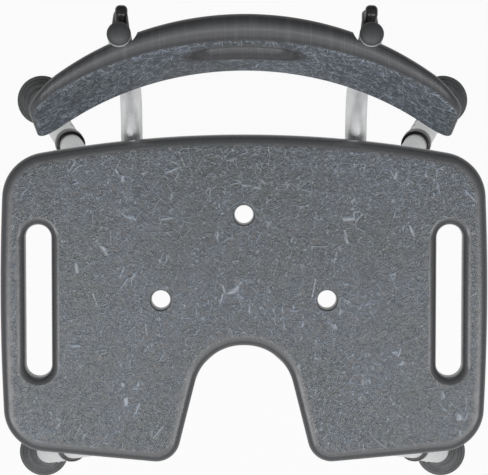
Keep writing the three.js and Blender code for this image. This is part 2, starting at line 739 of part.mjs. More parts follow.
function legSpring(leg) {
  const near = LEG_FLANGE_TOP - BUTTON_FLANGE_THICK - FIT_GAP;
  return vSpring(near, LEG_SPRING_FAR, LEG_SPRING_FLAT, LEG_SPRING_REACH, LEG_SPRING_WIDTH)
    .rotateZ(Math.PI)
    .applyMatrix4(buttonFrame(leg, LEG_BUTTON_AT));
}

const BACK_TURN = Math.PI / 2 - RECLINE;
const BACK_TANGENT = BACK_BEND_RADIUS * Math.tan(BACK_TURN / 2);
const BACK_LEAD = BACK_CORNER_Y - BACK_TUBE_START_Y - BACK_TANGENT;
const BACK_RISE = (BACK_TUBE_TOP_Z - BACK_TUBE_Z) / Math.cos(RECLINE) - BACK_TANGENT;
const BACK_REACH = BACK_LEAD + BACK_BEND_RADIUS * BACK_TURN + BACK_RISE;

// A point on the upper run of a back tube, and the frame there with Z up the tube
function backTubePoint(side, z) {
  return new THREE.Vector3(side.x * BACK_X, BACK_CORNER_Y + (z - BACK_TUBE_Z) * Math.tan(RECLINE), z);
}

function backTubeFrame(side, z) {
  const up = new THREE.Vector3(0, Math.sin(RECLINE), Math.cos(RECLINE));
  return frameAt(backTubePoint(side, z), up, X_AXIS);
}

// Z points to the rear, square to the tube, where the wing screw goes through
function knobFrame(side) {
  const rearward = new THREE.Vector3(0, Math.cos(RECLINE), -Math.sin(RECLINE));
  return frameAt(backTubePoint(side, KNOB_Z), rearward, X_AXIS);
}

// Z points down, out of the socket, where the back tube's snap button sits
function backButtonFrame(side) {
  const origin = new THREE.Vector3(side.x * BACK_X, BACK_BUTTON_Y, BACK_TUBE_Z);
  return frameAt(origin, new THREE.Vector3(0, 0, -1), new THREE.Vector3(0, 1, 0));
}

function backTube(side) {
  const stations = [0, ...bendStations(BACK_LEAD, BACK_BEND_RADIUS, BACK_TURN), BACK_REACH];
  const tube = shapedTube(BACK_TUBE_OUTER, BACK_TUBE_WALL, stations, (point) => {
    const { along, aside, angle } = bentPath(BACK_LEAD, BACK_BEND_RADIUS, BACK_TURN, point.z);
    return new THREE.Vector3(
      side.x * BACK_X - point.x,
      BACK_TUBE_START_Y + along - point.y * Math.sin(angle),
      BACK_TUBE_Z + aside + point.y * Math.cos(angle),
    );
  });
  const reach = BACK_TUBE_OUTER + OVERRUN;
  const stud = rod(STUD_RADIUS + HOLE_GAP, -reach, reach).applyMatrix4(knobFrame(side));
  const button = rod(BACK_PIN_RADIUS + HOLE_GAP, 0, reach).applyMatrix4(backButtonFrame(side));
  return cut(tube, [stud, button]);
}

function tubeCap(side) {
  const plug = BACK_TUBE_OUTER - BACK_TUBE_WALL - FIT_GAP;
  const profile = [[0, -CAP_PLUG_LENGTH], [plug, -CAP_PLUG_LENGTH], [plug, FIT_GAP], [CAP_RADIUS, FIT_GAP]];
  const domeSteps = 2 * ROUND_STEPS;
  for (let step = 1; step < domeSteps; step += 1) {
    const angle = ((step / domeSteps) * Math.PI) / 2;
    profile.push([CAP_RADIUS * Math.cos(angle), FIT_GAP + CAP_HEIGHT * Math.sin(angle)]);
  }
  profile.push([0, FIT_GAP + CAP_HEIGHT]);
  return turned(profile, TUBE_SIDES).applyMatrix4(backTubeFrame(side, BACK_TUBE_TOP_Z));
}

function backSocket(side) {
  const top = SEAT_BOTTOM_Z - FIT_GAP - BACK_TUBE_Z;
  const under = top - SOCKET_FLANGE_THICK;
  const outline = roundedOutline(
    mirrored([
      corner(SOCKET_FLANGE_HALF, top, SOCKET_FLANGE_ROUND),
      corner(SOCKET_FLANGE_HALF, under, SOCKET_FLANGE_ROUND),
      corner(SOCKET_HALF_WIDTH, under, SOCKET_FLANGE_ROUND),
      corner(SOCKET_HALF_WIDTH, -SOCKET_BELOW, SOCKET_ROUND),
    ]),
  );
  const body = plate(outline, SOCKET_LENGTH, SOCKET_EDGE, SMALL_ROUND_STEPS)
    .rotateX(Math.PI / 2)
    .translate(side.x * BACK_X, SOCKET_START_Y + SOCKET_LENGTH, BACK_TUBE_Z);
  const bore = rod(BACK_TUBE_OUTER + BORE_GAP, -OVERRUN, SOCKET_LENGTH + OVERRUN, TUBE_SIDES)
    .rotateX(-Math.PI / 2)
    .translate(side.x * BACK_X, SOCKET_START_Y, BACK_TUBE_Z);
  const button = rod(BACK_PIN_RADIUS + HOLE_GAP, 0, SOCKET_BELOW + OVERRUN).applyMatrix4(backButtonFrame(side));
  const screws = socketScrewPlaces()
    .filter(({ name }) => name.startsWith(side.name))
    .map(({ x, y }) =>
      rod(SCREW_RADIUS + HOLE_GAP, SEAT_BOTTOM_Z - SOCKET_FLANGE_THICK - OVERRUN, SEAT_BOTTOM_Z + OVERRUN)
        .translate(x, y, 0));
  return cut(body, [bore, button, ...screws]);
}

function socketScrew(place) {
  const seat = SEAT_BOTTOM_Z - SOCKET_FLANGE_THICK - 2 * FIT_GAP;
  return turned(
    [
      [0, seat - SCREW_HEAD_THICK],
      [SCREW_HEAD_RADIUS - SCREW_HEAD_ROUND, seat - SCREW_HEAD_THICK],
      [SCREW_HEAD_RADIUS, seat - SCREW_HEAD_THICK + SCREW_HEAD_ROUND],
      [SCREW_HEAD_RADIUS, seat],
      [SCREW_RADIUS, seat],
      [SCREW_RADIUS, SEAT_BOTTOM_Z + SCREW_INTO_SEAT],
      [0, SEAT_BOTTOM_Z + SCREW_INTO_SEAT],
    ],
    SMALL_SIDES,
  ).translate(place.x, place.y, 0);
}

function backButton(side) {
  return snapButton(BACK_PIN_RADIUS, BACK_BUTTON_TIP, BACK_FLANGE_RADIUS, BACK_FLANGE_TOP)
    .applyMatrix4(backButtonFrame(side));
}

function backSpring(side) {
  const near = BACK_FLANGE_TOP - BUTTON_FLANGE_THICK - FIT_GAP;
  return vSpring(near, BACK_SPRING_FAR, BACK_SPRING_FLAT, BACK_SPRING_REACH, BACK_SPRING_WIDTH)
    .applyMatrix4(backButtonFrame(side));
}

// How far an arc has fallen back from its middle at a given width
function bowBack(x, radius) {
  return Math.sqrt(radius ** 2 - x ** 2) - radius;
}

// Where the rear face of the back panel lies at a given width and height
function panelRear(x, z) {
  const tubeY = BACK_CORNER_Y + (z - BACK_TUBE_Z) * Math.tan(RECLINE);
  return tubeY + PANEL_BEHIND_TUBE + bowBack(x, PANEL_REAR_ARC_RADIUS);
}

// Radii that share out the depth of the panel's end face between its two corners
function panelEnd() {
  const front = bowBack(PANEL_HALF_WIDTH, PANEL_FRONT_ARC_RADIUS);
  const depth = PANEL_THICKNESS + bowBack(PANEL_HALF_WIDTH, PANEL_REAR_ARC_RADIUS) - front;
  const slope = Math.asin(PANEL_HALF_WIDTH / PANEL_FRONT_ARC_RADIUS);
  return {
    rear: PANEL_REAR_ROUND_SHARE * depth * Math.tan((Math.PI / 2 + slope) / 2),
    front: PANEL_FRONT_ROUND_SHARE * depth * Math.tan((Math.PI / 2 - slope) / 2),
  };
}

// The panel's curved strip seen from above, with rounded ends
function panelStrip() {
  const apex = panelRear(0, PANEL_TOP_Z);
  const end = panelEnd();
  const faces = [
    { y: apex, arc: PANEL_REAR_ARC_RADIUS, sense: 1, round: end.rear },
    { y: apex - PANEL_THICKNESS, arc: PANEL_FRONT_ARC_RADIUS, sense: -1, round: end.front },
  ];
  const corners = faces.flatMap(({ y, arc, sense, round }) =>
    Array.from({ length: PANEL_ARC_STEPS + 1 }, (_, step) => {
      const x = sense * PANEL_HALF_WIDTH * ((2 * step) / PANEL_ARC_STEPS - 1);
      const radius = step % PANEL_ARC_STEPS === 0 ? round : 0;
      return corner(x, y + bowBack(x, arc), radius);
    }),
  );
  return roundedOutline(corners);
}

function backPanel() {
  const lean = new THREE.Matrix4().makeShear(0, 0, 0, 0, 0, Math.tan(RECLINE));
  const rim = PANEL_RIM_SHARE * Math.min(panelEnd().rear, panelEnd().front);
  const body = plate(panelStrip(), PANEL_HEIGHT, rim, ROUND_STEPS)
    .translate(0, 0, -PANEL_HEIGHT)
    .applyMatrix4(lean)
    .translate(0, 0, PANEL_TOP_Z);
  const cutters = [panelSlot()];
  for (const side of BACK_SIDES) {
    const channel = BACK_TUBE_OUTER + CHANNEL_GAP;
    const length = (PANEL_HEIGHT + OVERRUN) / Math.cos(RECLINE);
    const frame = backTubeFrame(side, PANEL_TOP_Z);
    cutters.push(rod(channel, -length, OVERRUN, TUBE_SIDES).applyMatrix4(frame));
    cutters.push(
      rod(CHANNEL_LIP_RADIUS, -length, OVERRUN, TUBE_SIDES)
        .applyMatrix4(frame)
        .translate(0, CHANNEL_LIP_BEHIND, 0));
    cutters.push(
      rod(INSERT_OUTER + FIT_GAP, -PANEL_INSERT_FROM_TUBE - PANEL_INSERT_LENGTH - FIT_GAP, 0)
        .applyMatrix4(knobFrame(side)));
  }
  return cut(body, cutters);
}

function panelSlot() {
  const stations = roundedOver(
    0, PANEL_THICKNESS, PANEL_SLOT_SIDE, PANEL_SLOT_DEPTH, PANEL_SLOT_SIDE, PANEL_SLOT_DEPTH,
  );
  const halfStraight = (PANEL_SLOT_LENGTH - PANEL_SLOT_HEIGHT) / 2;
  return slotCutter(PANEL_SLOT_HEIGHT / 2, halfStraight, stations, (along, across, depth) => {
    const z = PANEL_SLOT_Z + across;
    return new THREE.Vector3(along, panelRear(along, z) - depth, z);
  });
}

function knobWing(side) {
  const seat = BACK_TUBE_OUTER + FIT_GAP;
  const hub = turned(
    [
      [0, seat],
      [KNOB_HUB_RADIUS, seat],
      [KNOB_HUB_TOP_RADIUS, seat + KNOB_HUB_LENGTH],
      [0, seat + KNOB_HUB_LENGTH],
    ],
    TUBE_SIDES,
  );
  const outline = roundedOutline(
    mirrored([
      corner(KNOB_WING_ROOT, KNOB_WING_LOW, KNOB_WING_ROUND),
      corner(KNOB_WING_SPAN, KNOB_WING_WAIST, KNOB_WING_ROUND),
      corner(KNOB_WING_SPAN, KNOB_WING_HIGH, KNOB_WING_ROUND),
      corner(KNOB_WING_ROOT, KNOB_WING_DIP, KNOB_WING_ROUND),
    ]),
  );
  const wings = plate(outline, KNOB_WING_THICK, KNOB_WING_EDGE, SMALL_ROUND_STEPS)
    .translate(0, 0, -KNOB_WING_THICK / 2)
    .rotateX(Math.PI / 2)
    .rotateZ(Math.PI / 2 + KNOB_TILT)
    .translate(0, 0, seat);
  const bore = rod(STUD_RADIUS + FIT_GAP, 0, seat + STUD_INTO_KNOB + FIT_GAP);
  return cut(join([hub, wings]), [bore]).applyMatrix4(knobFrame(side));
}

function knobScrew(side) {
  const from = -PANEL_INSERT_FROM_TUBE - STUD_INTO_INSERT;
  return rod(STUD_RADIUS, from, BACK_TUBE_OUTER + FIT_GAP + STUD_INTO_KNOB).applyMatrix4(knobFrame(side));
}

function panelInsert(side) {
  const from = -PANEL_INSERT_FROM_TUBE - PANEL_INSERT_LENGTH;
  return sleeve(INSERT_OUTER, STUD_RADIUS + HOLE_GAP, from, -PANEL_INSERT_FROM_TUBE)
    .applyMatrix4(knobFrame(side));
}

const group = new THREE.Group();

function add(name, geometry, look) {
  const mesh = new THREE.Mesh(geometry, new THREE.MeshStandardMaterial(look));
  mesh.name = name;
  group.add(mesh);
}

const HEADING_A = new THREE.Vector3(Math.cos(CROSS_ANGLE), Math.sin(CROSS_ANGLE), 0);
const HEADING_B = new THREE.Vector3(Math.cos(CROSS_ANGLE), -Math.sin(CROSS_ANGLE), 0);

add("seat_panel", seatPanel(), SEAT_GREY);
add("back_panel", backPanel(), SEAT_GREY);
add("cross_tube_a", crossTube(HEADING_A, 1, [LEGS[0], LEGS[3]]), TUBE_ALUMINIUM);
add("cross_tube_b", crossTube(HEADING_B, -1, [LEGS[1], LEGS[2]]), TUBE_ALUMINIUM);
add("cross_bolt", crossBolt(), STEEL);
add("cross_nut", crossNut(), STEEL);

for (const leg of LEGS) {
  add(`leg_tube_${leg.name}`, lowerLeg(leg), TUBE_ALUMINIUM);
  add(`leg_collar_${leg.name}`, legCollar(leg), BLACK_PLASTIC);
  add(`foot_${leg.name}`, foot(leg), FOOT_RUBBER);
  add(`leg_button_${leg.name}`, legButton(leg), STEEL);
  add(`leg_spring_${leg.name}`, legSpring(leg), STEEL);
  add(`seat_bolt_${leg.name}`, seatBolt(leg), STEEL);
  add(`seat_insert_${leg.name}`, seatInsert(leg), BRASS);
}

for (const side of BACK_SIDES) {
  add(`back_tube_${side.name}`, backTube(side), TUBE_ALUMINIUM);
  add(`tube_cap_${side.name}`, tubeCap(side), BLACK_PLASTIC);
  add(`back_socket_${side.name}`, backSocket(side), BLACK_PLASTIC);
  add(`back_button_${side.name}`, backButton(side), STEEL);
  add(`back_spring_${side.name}`, backSpring(side), STEEL);
  add(`knob_wing_${side.name}`, knobWing(side), BLACK_PLASTIC);
  add(`knob_screw_${side.name}`, knobScrew(side), STEEL);
  add(`panel_insert_${side.name}`, panelInsert(side), BRASS);
}

for (const place of socketScrewPlaces()) {
  add(`socket_screw_${place.name}`, socketScrew(place), STEEL);
}

// The floor is at z = 0 and the middle of the whole chair's box is over the origin
const box = new THREE.Box3().setFromObject(group, true);
const middle = box.getCenter(new THREE.Vector3());
group.position.set(-middle.x, -middle.y, -box.min.z);

export default group;
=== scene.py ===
import json
import math

import bpy
import numpy as np
from mathutils import Matrix, Vector


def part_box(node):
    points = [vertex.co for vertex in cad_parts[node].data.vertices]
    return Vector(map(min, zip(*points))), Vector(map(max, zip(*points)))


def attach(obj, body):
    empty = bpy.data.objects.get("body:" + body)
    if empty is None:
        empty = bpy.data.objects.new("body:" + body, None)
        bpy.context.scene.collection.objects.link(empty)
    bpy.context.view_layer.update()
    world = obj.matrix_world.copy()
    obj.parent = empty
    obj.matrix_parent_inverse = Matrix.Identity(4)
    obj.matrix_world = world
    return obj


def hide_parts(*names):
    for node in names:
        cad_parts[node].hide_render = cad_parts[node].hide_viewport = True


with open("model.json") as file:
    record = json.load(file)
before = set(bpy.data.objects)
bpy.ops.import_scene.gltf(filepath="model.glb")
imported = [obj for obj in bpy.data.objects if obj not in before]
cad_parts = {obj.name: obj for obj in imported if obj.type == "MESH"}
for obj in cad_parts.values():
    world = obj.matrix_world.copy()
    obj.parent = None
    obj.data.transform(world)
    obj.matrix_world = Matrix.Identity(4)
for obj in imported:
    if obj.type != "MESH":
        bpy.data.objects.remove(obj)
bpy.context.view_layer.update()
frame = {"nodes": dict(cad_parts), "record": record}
scene = bpy.context.scene

# Lengths are millimetres in the seat's own frame. The shared frame is in metres and shifted along Y.
MM = 0.001
GAP = 0.3

# Seat panel: corners are (x, y, radius), lips are (width, depth)
SEAT_TOP = 430.0
SEAT_THICK = 28.0
SEAT_RIM = 9.0
SEAT_BAND = 4.0
SEAT_REAR_Y = 169.5
SEAT_HALF_OUTLINE = [
    (104.0, SEAT_REAR_Y, 1165.0),
    (246.6, 144.0, 47.0),
    (252.9, 0.0, 2400.0),
    (246.2, -154.2, 45.0),
    (71.8, -170.4, 25.0),
    (40.9, -47.5, 50.9),
]
SLOT_X = 211.5
SLOT_Y = -1.6
SLOT_RADIUS = 13.5
SLOT_HALF_STRAIGHT = 65.5
SLOT_DISH = (8.25, 10.0)
SLOT_UNDER = (4.0, 5.0)
DRAIN_RADIUS = 9.45
DRAIN_FLARE = (2.05, 12.0)
DRAIN_PLACES = [(0.0, 87.7), (-85.5, 0.0), (85.5, 0.0)]

# Crossed tubes and legs
CROSS_Y = -17.0
CROSS_Z = 389.0
CROSS_ANGLE = math.radians(41.5)
CROSS_OUTER = 12.7
CROSS_WALL = 1.3
CROSS_CORNER = 208.0
CROSS_BEND = 60.0
LEG_SPLAY = math.radians(15.3)
UPPER_LEG_END_Z = 36.0
FLAT_HALF_LENGTH = 20.0
FLAT_END = 42.0
FLAT_HALF_WIDTH = 15.5
FLAT_HALF_HEIGHT = 6.25
FLAT_RISE = 6.4
LOWER_OUTER = 14.3
LOWER_WALL = 1.3
LOWER_END_Z = 10.1
LOWER_EDGE = 0.25
HOLE_COUNT = 7
HOLE_PITCH = 25.0
HOLE_RADIUS = 4.2
HOLE_TO_TOP = 21.2
DRILL_START = 5.0
DRILL_END = 20.0

# Collars, feet and pins: profiles are (radius, height), rounds are (inset, distance from the end)
COLLAR_ABOVE = 3.3
COLLAR_LENGTH = 15.0
COLLAR_OUTER = 16.0
COLLAR_MOUTH = (0.3, 0.4)
COLLAR_SKIRT_ROUND = [(0.6, 0.0), (0.1, 0.5), (0.0, 1.2)]
COLLAR_LIP_ROUND = [(0.0, 2.2), (0.2, 1.2), (0.7, 0.45), (1.4, 0.0)]
FOOT_CENTRE_Z = 5.0
FOOT_PROFILE = [
    (0, 0), (26.4, 0), (27.8, 0.5), (28.5, 1.5), (28.7, 3.0), (28.7, 5.8), (28.3, 7.1), (27.4, 7.8),
    (26.2, 8.0), (24.9, 8.1), (24.4, 8.5), (24.1, 9.4), (24.0, 11.2), (23.6, 12.3), (22.7, 12.9),
    (21.7, 13.0), (21.0, 13.2), (20.7, 13.8), (20.5, 15.0), (20.4, 16.4), (19.9, 17.4), (19.0, 17.9),
    (18.0, 18.0), (0, 18.0),
]
SOCKET_LOW_Z = 8.0
SOCKET_HIGH_Z = 41.0
SOCKET_OUTER = 17.6
SOCKET_EDGE = 0.3
SOCKET_LIP_ROUND = [(1.2, 0.0), (0.5, 0.4), (0.1, 1.2), (0.0, 2.0)]
SOCKET_GROOVE = [(0.0, 3.0), (0.4, 3.4), (0.4, 5.0), (0.0, 5.4)]
PIN_FROM_TUBE_END = 30.0
PIN_RADIUS = 3.9
PIN_TIP = 17.0
PIN_DOME = 1.6
PIN_FLANGE_RADIUS = 5.4
PIN_FLANGE_TOP = 9.6
PIN_FLANGE_THICK = 1.2

# Back tubes and their caps
BACK_X = 116.0
BACK_OUTER = 11.1
BACK_WALL = 1.2
BACK_TUBE_Z = 388.0
BACK_START_Y = 115.0
BACK_CORNER_Y = 206.5
BACK_BEND = 60.0
RECLINE = math.radians(11.9)
BACK_TUBE_STAND = 3.0
CAP_RADIUS = 11.2
CAP_PLUG_LENGTH = 13.0
CAP_PLUG_EDGE = (0.3, 0.5)
CAP_BRIM_ROUND = [(0.4, GAP), (0.05, 0.7), (0.0, 1.3)]
CAP_DOME_BASE = 1.3
CAP_DOME_HEIGHT = 6.0

# Back panel: a roll is (sideways, in depth, in height)
PANEL_TOP = 715.0
PANEL_HEIGHT = 157.0
PANEL_HALF = 201.0
PANEL_CORNER = 27.0
PANEL_ARC = 300.0
PANEL_BEHIND_TUBE = 21.4
PANEL_THICK = 27.4
PANEL_THIN_TOP = 10.5
PANEL_THIN_BOTTOM = 5.0
PANEL_REAR_ROLL = (24.0, 12.0, 12.5)
PANEL_FRONT_ROLL = (12.0, 13.0, 13.0)
PANEL_SLOT_Z = 661.5
PANEL_SLOT_RADIUS = 20.5
PANEL_SLOT_HALF = 26.5
PANEL_SLOT_LIP = (10.0, 9.0)
CHANNEL_GAP = 0.4
CHANNEL_LIP_RADIUS = 17.0
CHANNEL_LIP_BEHIND = 7.0

# Wing screws
KNOB_DROP = 33.0
KNOB_TILT = math.radians(6.0)
HUB_PROFILE = [
    (0, 0), (8.0, 0), (8.5, 0.5), (8.4, 2.0), (7.1, 12.0), (6.6, 14.8), (6.0, 15.7), (5.0, 16.0), (0, 16.0),
]
WING_HALF_OUTLINE = [(6.0, 3.5, 4.0), (16.0, 10.0, 5.0), (16.0, 28.0, 5.0), (6.0, 18.0, 5.0)]
WING_THICK = 11.5
WING_RIM = 4.4

# Where the moulded surfaces change: the direction a face looks in, or a distance
LEVEL_FACE = 0.9999
LEVEL_REACH = 0.05
GRAIN_FACING = (0.72, 0.84)
GRAIN_FROM_LIP = (-1.0, 3.0)
# Facing of the rolls that take the painted highlight streaks
STREAK_HIGHLIGHT_FACING = (0.3, 0.7)
# Place of the painted highlight line along the mould's parting
PARTING_FADE_X = (100.0, 135.0)
PARTING_DEPTH = 0.75
PARTING_WIDTH = 0.8

# Fineness of the meshes: angles are in degrees
SHARP_ANGLE = 35.0
PANEL_SHARP_ANGLE = 40.0
CHORD_ERROR = 0.02
WIDEST_STEP = 6.0
WING_WIDEST_STEP = 12.0
FEWEST_STEPS = 2
SHORTEST_EDGE = 0.05
CUTTER_OVERSHOOT = 6.0
FLAT_FACE_WEIGHT = 60
SEAT_RIM_STEPS = 10
SEAT_LIP_STEPS = 12
LIP_STEPS = 10
SLOT_END_STEPS = 24
SLOT_SIDE_STEPS = 2
PANEL_SLOT_SIDE_STEPS = 16
DRAIN_STEPS = 32
PANEL_ROLL_STEPS = 26
PANEL_WALL_STEPS = 20
PANEL_END_STEPS = 16
PANEL_END_WIDTH = 34.0
PANEL_MIDDLE_STEPS = 72
TUBE_SIDES = 64
CROSS_SIDES = 48
CROSS_BEND_STEPS = 16
FLATTENING_STEPS = 8
BACK_BEND_STEPS = 20
FOOT_SIDES = 96
PIN_SIDES = 32
PIN_DOME_STEPS = 6
CAP_DOME_STEPS = 10
HUB_SIDES = 48
WING_RIM_STEPS = 8

# Sizes and places that follow from those above
SHIFT_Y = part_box("seat_panel")[1].y / MM - SEAT_REAR_Y
SEAT_BOTTOM = SEAT_TOP - SEAT_THICK
PANEL_BOTTOM = PANEL_TOP - PANEL_HEIGHT
UPPER_LEG = (CROSS_Z - UPPER_LEG_END_Z) / math.cos(LEG_SPLAY)
PIN_AT = UPPER_LEG - PIN_FROM_TUBE_END
LOWER_TOP = PIN_AT - HOLE_PITCH * (HOLE_COUNT - 1) - HOLE_TO_TOP
LOWER_END = (CROSS_Z - LOWER_END_Z) / math.cos(LEG_SPLAY)
OVER_UPPER_LEG = CROSS_OUTER + GAP
OVER_LOWER_LEG = LOWER_OUTER + GAP
CAP_PLUG_RADIUS = BACK_OUTER - BACK_WALL - GAP
BACK_TUBE_TOP = PANEL_TOP + BACK_TUBE_STAND
KNOB_SEAT = BACK_OUTER + GAP
LEGS = [("front_left", -1, -1), ("front_right", 1, -1), ("rear_left", -1, 1), ("rear_right", 1, 1)]
SIDES = [("left", -1), ("right", 1)]
UP = np.array([0.0, 0.0, 1.0])
RIGHT = np.array([1.0, 0.0, 0.0])
ALONG_BACK = np.array([0.0, math.sin(RECLINE), math.cos(RECLINE)])
BEHIND_BACK = np.array([0.0, math.cos(RECLINE), -math.sin(RECLINE)])
CROSSING = np.array([0.0, CROSS_Y, CROSS_Z])


def unit(v):
    v = np.asarray(v, float)
    return v / np.linalg.norm(v)


def basis(origin, along, across):
    """A frame whose Z runs along one direction and whose X points across."""
    z, x = unit(along), unit(across)
    m = np.eye(4)
    m[:3, 0], m[:3, 1], m[:3, 2], m[:3, 3] = x, np.cross(z, x), z, origin
    return m


def moved(m, verts):
    return np.asarray(verts, float) @ m[:3, :3].T + m[:3, 3]


def smooth(obj, sharp):
    obj.data.shade_smooth()
    obj.data.set_sharp_from_angle(angle=math.radians(sharp))


def build(name, parts):
    """One mesh object from several closed shells, each (vertices in mm, faces)."""
    verts, faces = [], []
    for shell_verts, shell_faces in parts:
        base = len(verts)
        verts.extend(np.asarray(shell_verts, float).tolist())
        faces.extend([[i + base for i in face] for face in shell_faces])
    co = np.array(verts)
    co[:, 1] += SHIFT_Y
    mesh = bpy.data.meshes.new(name)
    mesh.from_pydata((co * MM).tolist(), [], faces)
    mesh.update()
    obj = bpy.data.objects.new(name, mesh)
    scene.collection.objects.link(obj)
    smooth(obj, SHARP_ANGLE)
    return obj


def band(a, b, count):
    """Quads between two rings of the same count, given by their first vertex."""
    return [[a + k, a + (k + 1) % count, b + (k + 1) % count, b + k] for k in range(count)]


def stacked(rings):
    """A closed shell through rings of equal length, with a face over each end."""
    count = len(rings[0])
    verts = np.concatenate([np.asarray(r, float) for r in rings])
    faces = []
    for level in range(len(rings) - 1):
        faces += band(level * count, (level + 1) * count, count)
    last = (len(rings) - 1) * count
    faces.append(list(range(count - 1, -1, -1)))
    faces.append([last + k for k in range(count)])
    return verts, faces


def lathe(profile, sides, m):
    """A turned shell from (radius, height) points that start and end on the axis or close on themselves."""
    rings, verts, faces = [], [], []
    closed = profile[0] == profile[-1]
    for r, z in profile[:-1] if closed else profile:
        count = 1 if r == 0 else sides
        rings.append(list(range(len(verts), len(verts) + count)))
        for k in range(count):
            a = 2 * math.pi * k / sides
            verts.append((r * math.cos(a), r * math.sin(a), z))
    if closed:
        rings.append(rings[0])
    for a, b in zip(rings, rings[1:]):
        for k in range(sides):
            n = (k + 1) % sides
            if len(a) == 1:
                faces.append([a[0], b[n], b[k]])
            elif len(b) == 1:
                faces.append([a[k], a[n], b[0]])
            else:
                faces.append([a[k], a[n], b[n], b[k]])
    return moved(m, verts), faces


def ring_profile(outer, inner, low, high, edge):
    """Profile of a tube piece with small rounded mouths, closed on itself."""
    points = [
        (outer - edge, low), (outer, low + edge), (outer, high - edge), (outer - edge, high),
        (inner + edge, high), (inner, high - edge), (inner, low + edge), (inner + edge, low),
    ]
    return points + [points[0]]


def quarter(steps):
    """(inset, depth) shares of a quarter round, from the flat face to the side wall."""
    for k in range(steps + 1):
        a = math.pi / 2 * k / steps
        yield 1 - math.sin(a), 1 - math.cos(a)


def dome(radius, base, height, steps):
    """Profile of a dome, from just above its base to its top on the axis."""
    points = []
    for k in range(1, steps):
        a = math.pi / 2 * k / steps
        points.append((radius * math.cos(a), base + height * math.sin(a)))
    return points + [(0, base + height)]


def rounded(corners, widest=WIDEST_STEP):
    """A closed outline; each corner is (x, y, radius)."""
    out = []
    n = len(corners)
    for i, (x, y, r) in enumerate(corners):
        p = np.array([x, y], float)
        b = unit(np.array(corners[(i - 1) % n][:2], float) - p)
        a = unit(np.array(corners[(i + 1) % n][:2], float) - p)
        opening = math.acos(float(np.clip(a @ b, -1, 1)))
        turn = math.pi - opening
        centre = p + unit(a + b) * r / math.sin(opening / 2)
        start = p + b * r * math.tan(turn / 2) - centre
        step = min(2 * math.acos(1 - CHORD_ERROR / r), math.radians(widest))
        steps = max(int(math.ceil(turn / step)), FEWEST_STEPS)
        sense = math.copysign(1.0, a[0] * b[1] - a[1] * b[0])
        for k in range(steps + 1):
            t = sense * turn * k / steps
            c, s = math.cos(t), math.sin(t)
            out.append(centre + np.array([c * start[0] - s * start[1], s * start[0] + c * start[1]]))
    points = np.array(out)
    edges = np.linalg.norm(points - np.roll(points, -1, axis=0), axis=1)
    points = points[edges > SHORTEST_EDGE]
    turned = np.roll(points, -1, axis=0)
    area = np.sum(points[:, 0] * turned[:, 1] - turned[:, 0] * points[:, 1])
    return points if area > 0 else points[::-1]


def mirrored(half):
    """The whole outline from the corners of its right half, given from the rear to the front."""
    return half + [(-x, y, r) for x, y, r in reversed(half)]


def inset(points, d):
    """The outline moved inwards by d along its corner bisectors."""
    before, after = points - np.roll(points, 1, axis=0), np.roll(points, -1, axis=0) - points
    n0 = np.stack([-before[:, 1], before[:, 0]], 1) / np.linalg.norm(before, axis=1)[:, None]
    n1 = np.stack([-after[:, 1], after[:, 0]], 1) / np.linalg.norm(after, axis=1)[:, None]
    reach = d / (1 + np.sum(n0 * n1, axis=1))
    return points + (n0 + n1) * reach[:, None]


def plate(points, height, rim, steps, edge_band=0.0):
    """A plate from z = 0 to height whose two rims are rounded; edge_band adds a ring on each flat face."""
    low = [(rim * side, rim * depth) for side, depth in quarter(steps)]
    if edge_band:
        low.insert(0, (rim + edge_band, 0.0))
    levels = low + [(side, height - depth) for side, depth in reversed(low)]
    rings = []
    for side, z in levels:
        ring = inset(points, side)
        rings.append(np.column_stack([ring, np.full(len(ring), z)]))
    return stacked(rings)


def slot_cutter(radius, half, stations, place, arc=SLOT_END_STEPS, side=SLOT_SIDE_STEPS):
    """Rings of a round-ended slot at several depths; place maps (along, across, depth)."""
    rings = []
    for depth, extra in stations:
        ring = []
        r = radius + extra
        for end in (1, -1):
            for k in range(arc + 1):
                a = (k / arc - 0.5) * math.pi
                ring.append(place(end * (half + r * math.cos(a)), end * r * math.sin(a), depth))
            for k in range(1, side if half > 0 else 0):
                ring.append(place(end * half * (1 - 2 * k / side), end * r, depth))
        rings.append(ring)
    return stacked(rings)


def rounded_over(low, high, low_lip, high_lip, steps=LIP_STEPS):
    """Stations of a hole whose lips, each (width, depth), are rounded at the low and the high face."""
    stations = [(low - CUTTER_OVERSHOOT, low_lip[0])]
    stations += [(low + low_lip[1] * depth, low_lip[0] * side) for side, depth in quarter(steps)]
    top = [(high - high_lip[1] * depth, high_lip[0] * side) for side, depth in quarter(steps)]
    return stations + top[::-1] + [(high + CUTTER_OVERSHOOT, high_lip[0])]


def cut(obj, cutters, sharp=SHARP_ANGLE):
    """Cuts each shell out of the object and keeps the flat faces' shading flat."""
    tool = build("tool", cutters)
    boolean = obj.modifiers.new("cut", "BOOLEAN")
    boolean.operation = "DIFFERENCE"
    boolean.solver = "EXACT"
    boolean.object = tool
    boolean.use_self = True
    graph = bpy.context.evaluated_depsgraph_get()
    mesh = bpy.data.meshes.new_from_object(obj.evaluated_get(graph))
    obj.modifiers.clear()
    old = obj.data
    obj.data = mesh
    bpy.data.meshes.remove(old)
    bpy.data.objects.remove(tool)
    smooth(obj, sharp)
    weighted = obj.modifiers.new("weight", "WEIGHTED_NORMAL")
    weighted.keep_sharp = True
    weighted.weight = FLAT_FACE_WEIGHT


